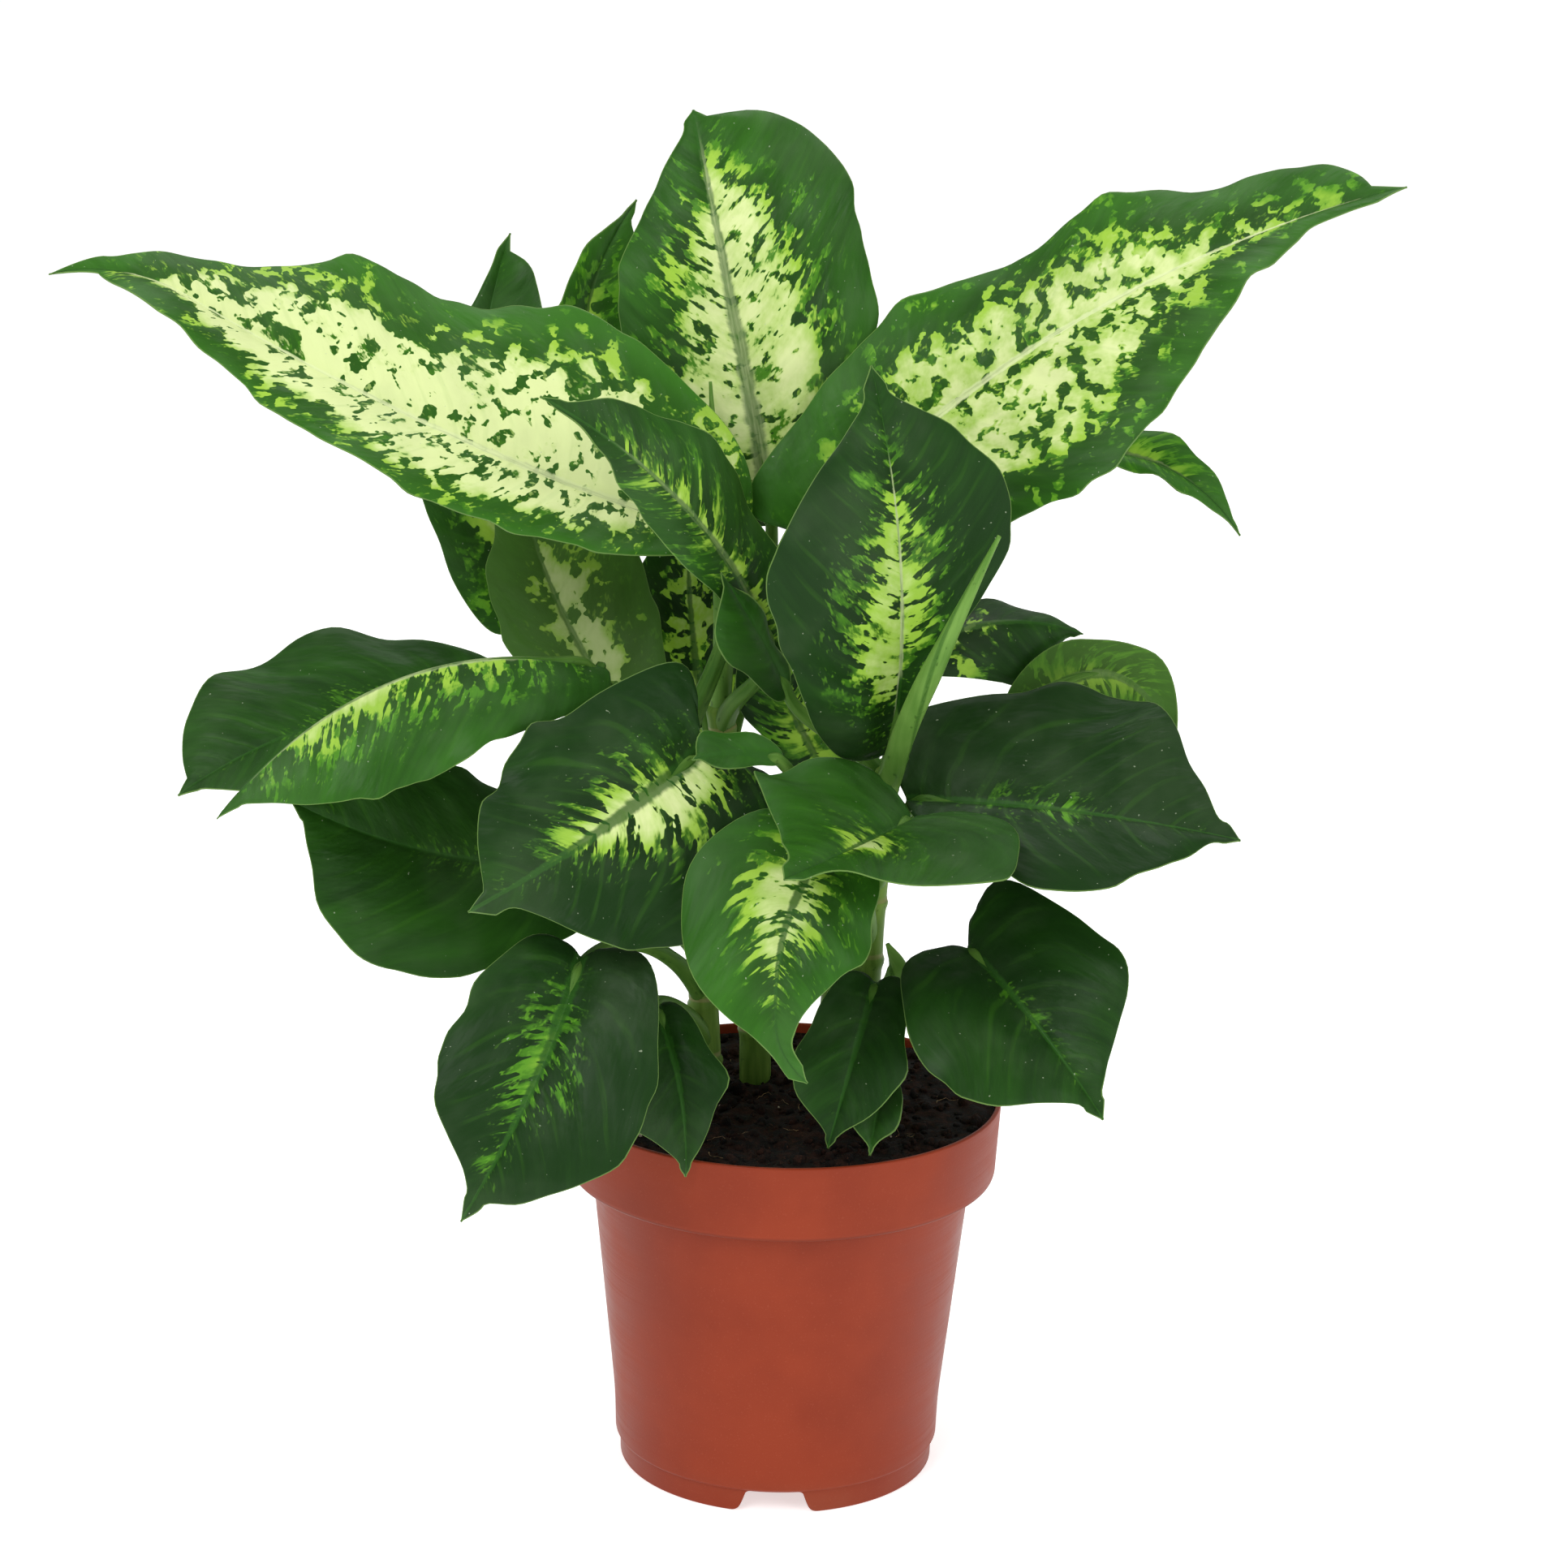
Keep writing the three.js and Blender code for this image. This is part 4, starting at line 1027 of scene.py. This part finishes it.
def rounded(profile, sizes, steps=4):
    """The profile with its corners rounded, each by its own radius."""
    profile = [np.array(p, float) for p in profile]
    found = [profile[0]]
    for before, corner, after, size in zip(profile, profile[1:], profile[2:], sizes):
        back, ahead = before - corner, after - corner
        cut = min(size, 0.45 * min(np.linalg.norm(back), np.linalg.norm(ahead)))
        first = corner + unit(back) * cut
        last = corner + unit(ahead) * cut
        for t in np.linspace(0, 1, steps + 1):
            found.append(first * (1 - t) ** 2 + corner * 2 * t * (1 - t) + last * t**2)
    found.append(profile[-1])
    return np.array(found)


def notch_height(angles):
    """How high the foot ring's lower edge is at each angle."""
    beside = [(angles - middle + math.pi) % TURN - math.pi for middle in notch_middles]
    offset = np.abs(beside).min(0) * FOOT_RADIUS
    slope = (NOTCH_FOOT_WIDTH - NOTCH_TOP_WIDTH) / 2
    top = FOOT_HEIGHT - NOTCH_LEDGE
    corners = [NOTCH_CORNER, NOTCH_TOP_CORNER]
    line = rounded([[-20, 0], [0, 0], [slope, top], [20, top]], corners, 8)
    return np.interp(NOTCH_FOOT_WIDTH / 2 - offset, line[:, 0], line[:, 1])


def pot_angles():
    """Angles round the pot, closer together at the sides of the notches."""
    found = [turns(POT_COLUMNS)]
    offsets = np.linspace(NOTCH_TOP_WIDTH / 2 - 1.4, NOTCH_FOOT_WIDTH / 2 + 2.4, NOTCH_COLUMNS)
    for middle in notch_middles:
        for side in (-1, 1):
            found.append((middle + side * offsets / FOOT_RADIUS) % TURN)
    return np.unique(np.round(np.concatenate(found), 5))


def pot_profile():
    """Radius and height from the middle of the floor's underside round to the top of the floor."""
    floor = FLOOR_UNDERSIDE + WALL
    inner_foot = FOOT_RADIUS - FOOT_RING
    profile = [
        [POT_MIDDLE, FLOOR_UNDERSIDE],
        [inner_foot, FLOOR_UNDERSIDE],
        [inner_foot, 0],
        [FOOT_RADIUS, 0],
        [FOOT_RADIUS + 0.1, FOOT_HEIGHT],
        [WALL_FOOT_RADIUS, FOOT_HEIGHT + 0.7],
        [WALL_FOOT_RADIUS + 0.35, FOOT_HEIGHT + 12],
        [WALL_TOP_RADIUS, COLLAR_BOTTOM - 0.7],
        [COLLAR_FOOT_RADIUS - 0.3, COLLAR_BOTTOM],
        [COLLAR_FOOT_RADIUS + 0.15, COLLAR_BOTTOM + 1.2],
        [RIM_RADIUS, POT_HEIGHT],
        [RIM_RADIUS - WALL, POT_HEIGHT],
        [COLLAR_FOOT_RADIUS - WALL, COLLAR_BOTTOM + WALL],
        [WALL_TOP_RADIUS - WALL, COLLAR_BOTTOM - WALL],
        [WALL_FOOT_RADIUS - WALL, floor],
        [POT_MIDDLE, floor],
    ]
    return rounded(profile, [0.3, 0.6, 0.6, 0.25, 0.8, 8, 0.6, 0.7, 0.9, 0.65, 0.6, 0.6, 0.6, 0.6])


def cut_drains(pot):
    """Cuts the drain holes through the floor."""
    drains = Piece()
    for i in range(DRAIN_HOLES):
        angle = TURN * (i + 0.5) / DRAIN_HOLES
        x, y = DRAIN_RING * math.cos(angle), DRAIN_RING * math.sin(angle)
        heights = [FLOOR_UNDERSIDE - DRAIN_OVERLAP, FLOOR_UNDERSIDE + WALL + DRAIN_OVERLAP]
        line = np.array([[x, y, height] for height in heights])
        add_tube(drains, line, np.full((2, DRAIN_SIDES), float(DRAIN_RADIUS)), 0, [1, 0, 0])
    cutter = drains.build("drain_cutter", [pot_plastic])
    cut = pot.modifiers.new("drains", "BOOLEAN")
    cut.operation = "DIFFERENCE"
    cut.object = cutter
    cut.solver = "EXACT"
    graph = bpy.context.evaluated_depsgraph_get()
    mesh = bpy.data.meshes.new_from_object(pot.evaluated_get(graph))
    pot.modifiers.clear()
    pot.data = mesh
    bpy.data.objects.remove(cutter)


def make_pot():
    angles = pot_angles()
    raised = notch_height(angles)
    rings = []
    for radius, height in pot_profile():
        if height < FOOT_HEIGHT - NOTCH_LEDGE and radius > FOOT_RADIUS - FOOT_RING - 0.01:
            # The foot ring's lower part is squeezed up into what the notch leaves of it
            height = raised + height * (1 - raised / FOOT_HEIGHT)
        rings.append(circle(radius, height, angles))
    piece = Piece()
    ends = [[0, 0, FLOOR_UNDERSIDE], [0, 0, FLOOR_UNDERSIDE + WALL]]
    add_rings(piece, np.stack(rings), ends)
    pot = piece.build("fine_pot", [pot_plastic])
    cut_drains(pot)
    pot.data.shade_smooth()
    pot.data.set_sharp_from_angle(angle=SHARP_ANGLE)
    return pot


# Materials
def colour(red, green, blue):
    """A colour from 0 to 255 as the shaders take it."""
    share = np.array([red, green, blue]) / 255
    return (*np.where(share <= 0.04045, share / 12.92, ((share + 0.055) / 1.055) ** 2.4), 1)


def sum_of(operation):
    """A sum of that kind for two Values, or for a Value and a plain number."""
    return lambda self, other: self.shader.math(operation, self, other)


class Value:
    """A number that a material works out, which takes part in sums as plain numbers do."""

    def __init__(self, shader, socket):
        self.shader = shader
        self.socket = socket

    __add__ = sum_of("ADD")
    __sub__ = sum_of("SUBTRACT")
    __mul__ = sum_of("MULTIPLY")
    __truediv__ = sum_of("DIVIDE")

    def __rsub__(self, other):
        return self.shader.math("SUBTRACT", other, self)


class Shader:
    """A material whose nodes are added by short calls."""

    def __init__(self, name, specular):
        self.material = bpy.data.materials.new(name)
        self.material.use_nodes = True
        self.nodes = self.material.node_tree.nodes
        self.links = self.material.node_tree.links
        self.surface = self.nodes["Principled BSDF"]
        self.surface.inputs["Specular IOR Level"].default_value = specular

    def put(self, socket, value):
        if isinstance(value, Value):
            self.links.new(value.socket, socket)
        else:
            socket.default_value = value

    def node(self, kind, inputs, output=0, **settings):
        """One output of a new node with these inputs and settings."""
        node = self.nodes.new(kind)
        for name, setting in settings.items():
            setattr(node, name, setting)
        for key, value in inputs.items():
            self.put(node.inputs[key], value)
        return Value(self, node.outputs[output])

    def math(self, operation, a, b=0.0):
        return self.node("ShaderNodeMath", {0: a, 1: b}, operation=operation)

    def split(self, vector):
        """The three numbers of a vector."""
        first = self.node("ShaderNodeSeparateXYZ", {0: vector})
        return [Value(self, socket) for socket in first.socket.node.outputs]

    def values(self, name):
        """The three values that the mesh has under that name."""
        return self.split(self.node("ShaderNodeAttribute", {}, "Vector", attribute_name=name))

    def vector(self, x, y, z):
        return self.node("ShaderNodeCombineXYZ", {0: x, 1: y, 2: z})

    def position(self):
        """The place in the object, in millimetres."""
        place = self.node("ShaderNodeTexCoord", {}, "Object")
        return self.node("ShaderNodeVectorMath", {0: place, "Scale": 1 / MM}, operation="SCALE")

    def noise(self, at, size, detail=2, roughness=0.5, distortion=0):
        """Noise about 0.5, with features of that size."""
        inputs = {"Vector": at, "Scale": 1 / size, "Detail": detail, "Roughness": roughness}
        return self.node("ShaderNodeTexNoise", {**inputs, "Distortion": distortion}, "Fac")

    def step(self, value, low, high, start=0, end=1):
        """A smooth step from start at low to end at high."""
        inputs = {"Value": value, "From Min": low, "From Max": high, "To Min": start, "To Max": end}
        return self.node("ShaderNodeMapRange", inputs, "Result", interpolation_type="SMOOTHSTEP")

    def mix(self, share, a, b):
        return self.node("ShaderNodeMix", {0: share, 6: a, 7: b}, 2, data_type="RGBA")

    def finish(self, base, roughness, height=None, depth=0.1):
        """height is relief in shares of depth, which is in millimetres."""
        self.put(self.surface.inputs["Base Color"], base)
        self.put(self.surface.inputs["Roughness"], roughness)
        if height is not None:
            inputs = {"Strength": 1, "Distance": depth * MM, "Height": height}
            self.put(self.surface.inputs["Normal"], self.node("ShaderNodeBump", inputs))
        return self.material


DARK_GREEN = colour(23, 53, 16)
DEEP_GREEN = colour(16, 36, 9)
FRESH_GREEN = colour(58, 116, 30)
LEAF_HALO = colour(82, 146, 30)
DEEP_YELLOW = colour(92, 150, 36)
YELLOW_GREEN = colour(156, 198, 66)
CREAM = colour(222, 235, 166)
RIB_GREEN = colour(44, 90, 28)
RIB_PALE = colour(224, 236, 178)
MARGIN_PALE = colour(118, 152, 78)
UNDERSIDE = colour(80, 114, 48)
SCAR = colour(150, 140, 96)
# The film's grey-green stands partly for dust and partly for painted sheen
DUST_AND_SHEEN_FILM = colour(104, 124, 92)
DUST_SPECK = colour(176, 190, 160)


# Leaf materials. s is the shader, and p has the leaf's values at the point being coloured.
def leaf_point(s):
    """The values that a leaf's mesh has there, and the places where its noises are read."""
    p = SimpleNamespace()
    p.vein, p.distance, p.edge = s.values("vein")
    p.band, p.streak, p.seed = s.values("mark")
    p.fleck, p.rib, p.fresh = s.values("tone")
    p.cream, p.halo, p.rib_width = s.values("hue")
    p.seeded = p.seed * 17.3
    p.at = s.position()
    p.plain = s.vector(p.vein, p.distance, p.seeded)
    p.drawn_out = s.vector(p.vein, p.distance * 0.3, p.seeded)
    streaky = s.vector(p.vein, p.distance * 0.2, p.seeded)
    p.streaks = s.noise(p.drawn_out, 2.5, 3, 0.55) - 0.5
    p.coarse = s.noise(streaky, 5.5) - 0.5
    p.mottle = s.noise(streaky, 3.6, 3, 0.6)
    return p


def leaf_green(s, p):
    """Green that is lighter in young leaves and deeper beside the pale middle."""
    shade = s.noise(p.plain, 26) - 0.5
    tone = p.fresh * 0.95 + shade * 0.7 + (p.mottle - 0.5) * 0.45
    green = s.mix(s.step(tone, -0.05, 1.05), DARK_GREEN, FRESH_GREEN)
    return s.mix(s.step(p.band, -0.7, 0.3, 0, 0.4), green, DEEP_GREEN)


def pale_value(s, p):
    """How far inside the pale middle a point is, broken up by noise and by dark flecks."""
    other = 1 - p.streak
    blotches = s.noise(p.at, 8, 3, 0.52, 0.15) - 0.5
    patches = s.noise(p.plain, 17, 1) - 0.5
    grains = s.noise(p.plain, 1.5, 2, 0.6) - 0.5
    broken = p.streak * (p.streaks * 3.2 + p.coarse * 1.8) + other * (blotches * 7 + patches * 3.5)
    value = p.band + broken + grains * (other * 0.9 + 0.4)
    # The flecks are rarer beside the midrib
    flecks = other * s.noise(p.at, 4.4, 2, 0.5, 0.2) + p.streak * s.noise(p.drawn_out, 2)
    flecks = flecks + p.fleck * 0.2 + s.step(p.band, 0.1, 0.9, 0.02, -0.07)
    return value - s.step(flecks, 0.6, 0.66) * 1.6


def add_pale(s, p, base, value):
    """The yellow-green fringe, and then the pale middle with dots just outside it."""
    near = s.step(value, -1.3, -0.6) * s.step(p.band, -1.3, -0.5)
    dots = s.noise(s.vector(p.vein + 40, p.distance, p.seeded), 1.3, 1)
    dots = s.step(dots, 0.56, 0.68) * (near * (p.halo * 0.9))
    is_halo = s.step(value + p.halo * 0.6, -0.15, 0.4)
    is_pale = s.step(value, p.streak * -0.06, p.streak * 0.25 + 0.12)
    tint = p.cream + (value * 0.25 + (p.band - 0.35) * 0.6)
    pale = s.mix(s.step(tint, -0.1, 0.55), DEEP_YELLOW, YELLOW_GREEN)
    pale = s.mix(s.step(tint, 0.6, 1.25), pale, CREAM)
    base = s.mix(is_halo * (p.halo * 0.75), base, LEAF_HALO)
    return s.mix(s.math("MAXIMUM", is_pale, dots), base, pale)


def add_midrib(s, p, base):
    """The midrib with frayed sides, pale where it runs through the pale middle."""
    reach = s.math("ABSOLUTE", p.distance)
    frayed = reach + p.streaks * p.rib_width * 1.2
    on_rib = s.step(frayed / p.rib_width, 1.05, 0.55)
    strands = s.noise(s.vector(p.vein * 0.1, p.distance, p.seeded), 0.8) - 0.5
    share = p.rib + s.math("MINIMUM", p.rib, 0.3) * (strands * 4)
    rib = s.mix(share * s.step(p.band, -0.4, 0.4), RIB_GREEN, RIB_PALE)
    return s.mix(on_rib * 0.85, base, rib)


def side_veins(s, p):
    """Fine lines along the side veins, fading out at the margin and in the mottling."""
    bent = p.vein + s.noise(p.plain, 14, 1) * 5
    phase = s.math("COSINE", bent * (TURN / VEIN_SPACING))
    return s.step(phase, 0.7, 1) * s.step(p.edge, 1, 9) * s.step(p.mottle, 0.35, 0.65)


def add_dust_and_sheen(s, p, base):
    """A faint film that is partly dust and partly painted sheen, and specks of dust."""
    # The grey-green film is partly dust and partly painted sheen
    dust_and_sheen_film = s.step(s.noise(p.at, 24, 3, 0.6), 0.42, 0.7, 0, 0.11)
    specks = s.step(s.noise(p.at, 0.8, 0), 0.85, 0.88, 0, 0.5)
    return s.mix(specks, s.mix(dust_and_sheen_film, base, DUST_AND_SHEEN_FILM), DUST_SPECK)


def leaf_material(name, underside):
    s = Shader(name, 0.12)
    p = leaf_point(s)
    base = add_pale(s, p, leaf_green(s, p), pale_value(s, p))
    base = add_midrib(s, p, base)
    line = side_veins(s, p)
    base = s.mix(line * 0.1, base, LEAF_HALO)
    base = s.mix(s.step(p.edge, 0.28, 0.1, 0, 0.7), base, MARGIN_PALE)
    height = s.noise(p.plain, 0.9, 3, 0.6) * 0.4 + line * -0.5 + s.noise(p.plain, 5) * 6
    if underside:
        return s.finish(s.mix(0.5, base, UNDERSIDE), 0.5, height, 0.08)
    gloss = s.step(s.noise(p.plain, 9, 3, 0.6), 0.3, 0.7, 0.36, 0.5)
    return s.finish(add_dust_and_sheen(s, p, base), gloss, height, 0.08)


def stem_material(name, light, dark, scarred):
    """Smooth green stem, streaked along, with darker flecks and pale scars."""
    s = Shader(name, 0.1)
    along, around, scar = s.values("vein")
    seeded = s.values("mark")[2] * 9.1
    streaks = s.noise(s.vector(along * 0.12, around, seeded), 1.8, 3, 0.6)
    clouds = s.noise(s.vector(along * 0.4, around, seeded), 7)
    flecks = s.step(s.noise(s.vector(along * 0.5, around, seeded), 1.6), 0.66, 0.72)
    base = s.mix(s.step(streaks * 0.4 + clouds * 0.6, 0.3, 0.7), dark, light)
    base = s.mix(flecks * 0.45, base, DARK_GREEN)
    ring = s.step(scar, 0.9, 0.3)
    base = s.mix(ring * 0.55, base, scarred)
    return s.finish(base, s.step(clouds, 0.3, 0.7, 0.35, 0.5), streaks + ring * -0.5, 0.08)


def soil_material():
    s = Shader("soil_dark", 0.2)
    at = s.position()
    coarse = s.noise(at, 3.2, 4, 0.65)
    fine = s.noise(at, 0.7, 3, 0.7)
    base = s.mix(s.step(coarse, 0.4, 0.68), colour(11, 8, 6), colour(50, 30, 22))
    base = s.mix(s.step(fine, 0.6, 0.7) * 0.55, base, colour(98, 64, 46))
    wet = s.step(coarse, 0.3, 0.6, 0.7, 0.98)
    return s.finish(base, wet, coarse * 0.5 + fine, 0.7)


def grained_material(name, size, dark, light, roughness, depth):
    """Two tones of one colour in grains of that size, for the grit and the fibres."""
    s = Shader(name, 0.3)
    grain = s.noise(s.position(), size, 2, 0.6)
    return s.finish(s.mix(s.step(grain, 0.35, 0.65), dark, light), roughness, grain, depth)


def pot_material():
    """Moulded terracotta-coloured plastic: a satin skin with faint lines from its moulding."""
    s = Shader("pot_plastic", 0.16)
    at = s.position()
    height = s.split(at)[2]
    clouds = s.noise(at, 26, 3, 0.55)
    grain = s.noise(at, 0.5, 2, 0.6)
    base = s.mix(s.step(clouds, 0.3, 0.7), colour(135, 50, 26), colour(145, 56, 30))
    base = s.mix(s.step(grain, 0.6, 0.75) * 0.12, base, colour(196, 110, 84))
    dust = s.step(height, 12, 0) * s.step(clouds, 0.4, 0.7)
    base = s.mix(dust * 0.22, base, colour(120, 86, 66))
    # Painted shadow: a dark band on the wall and on the collar's lower fillet, just under the collar
    under_collar_shade = s.step(height, COLLAR_BOTTOM - 4, COLLAR_BOTTOM)
    under_collar_shade = under_collar_shade * s.step(height, COLLAR_BOTTOM + 1.2, COLLAR_BOTTOM + 0.5)
    base = s.mix(under_collar_shade * 0.4, base, colour(84, 34, 20))
    scuffs = s.noise(s.vector(height * 5, clouds, grain), 3, 3, 0.7)
    rough = s.step(clouds * 0.6 + scuffs * 0.4, 0.35, 0.65, 0.34, 0.5)
    lines = s.noise(s.vector(0, 0, height), 1.1, 2, 0.6)
    return s.finish(base, rough, grain * 0.6 + lines * 0.8, 0.035)


def floor_material():
    s = Shader("floor_pale", 0.2)
    s.surface.inputs["Emission Color"].default_value = (1, 1, 1, 1)
    s.surface.inputs["Emission Strength"].default_value = FLOOR_GLOW
    grain = s.noise(s.position(), 40)
    return s.finish(s.mix(grain, colour(236, 236, 236), colour(242, 242, 242)), 0.8)


leaf_upper = leaf_material("leaf_upper", False)
leaf_under = leaf_material("leaf_under", True)
stalk_green = stem_material("stalk_green", colour(94, 132, 54), colour(56, 96, 32), DARK_GREEN)
cane_green = stem_material("cane_green", colour(116, 148, 62), colour(70, 106, 36), SCAR)
shoot_green = stem_material("shoot_green", colour(118, 158, 74), colour(82, 126, 48), RIB_GREEN)
soil_dark = soil_material()
grit_tones = colour(150, 138, 116), colour(206, 198, 180)
grit_pale = grained_material("grit_pale", 0.35, *grit_tones, 0.85, 0.08)
fibre_tones = colour(84, 58, 38), colour(176, 146, 108)
fibre_brown = grained_material("fibre_brown", 1.4, *fibre_tones, 0.8, 0.05)
pot_plastic = pot_material()


# Camera at the photograph's angle, and the studio
def make_camera():
    data = bpy.data.cameras.new("camera")
    data.lens = LENS
    data.sensor_width = SENSOR
    data.clip_start = CLIP_START
    data.clip_end = CLIP_END
    camera = new_object("camera", data)
    pitch = Matrix.Rotation(math.pi / 2 - CAMERA_PITCH, 4, "X")
    roll = Matrix.Rotation(CAMERA_ROLL, 4, "Z")
    camera.matrix_world = Matrix.Translation((CAMERA_AT + AXIS_AT) * MM) @ pitch @ roll
    bpy.context.scene.camera = camera


def add_light(name, at, size, power):
    data = bpy.data.lights.new(name, "AREA")
    data.shape = "DISK"
    data.size = size
    data.energy = power
    light = new_object(name, data)
    light.location = at
    aim = Vector(LIGHTS_AIM) - Vector(at)
    light.rotation_mode = "QUATERNION"
    light.rotation_quaternion = aim.to_track_quat("-Z", "Y")


def make_floor():
    mesh = bpy.data.meshes.new("floor")
    corners = [(-1, -1), (1, -1), (1, 1), (-1, 1)]
    points = [(FLOOR_REACH * x, FLOOR_REACH * y, 0) for x, y in corners]
    mesh.from_pydata(points, [], [(0, 1, 2, 3)])
    mesh.materials.append(floor_material())
    new_object("floor", mesh)


def make_studio():
    world = bpy.data.worlds.new("studio")
    world.use_nodes = True
    background = world.node_tree.nodes["Background"]
    background.inputs["Color"].default_value = (1, 1, 1, 1)
    background.inputs["Strength"].default_value = WORLD_STRENGTH
    bpy.context.scene.world = world
    bpy.context.scene.view_settings.view_transform = "Standard"
    for name, values in LIGHTS.items():
        add_light(name, *values)
    make_floor()


def place(piece, node, slot):
    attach(piece, "root")
    if node:
        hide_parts(node)


make_camera()
make_studio()
for number, name in enumerate(LEAVES):
    place(make_leaf(name, number + 1), name, "leaf")
for number, name in enumerate(CANES):
    place(make_cane(name, number + 51), name, "cane")
for name in SHOOTS:
    place(make_shoot(name), name, "shoot")
rng = np.random.default_rng(5)
place(make_bed(), "soil", "soil")
place(make_crumbs(rng), None, "soil")
place(make_fibres(rng), None, "soil")
place(make_pot(), "pot", "pot")
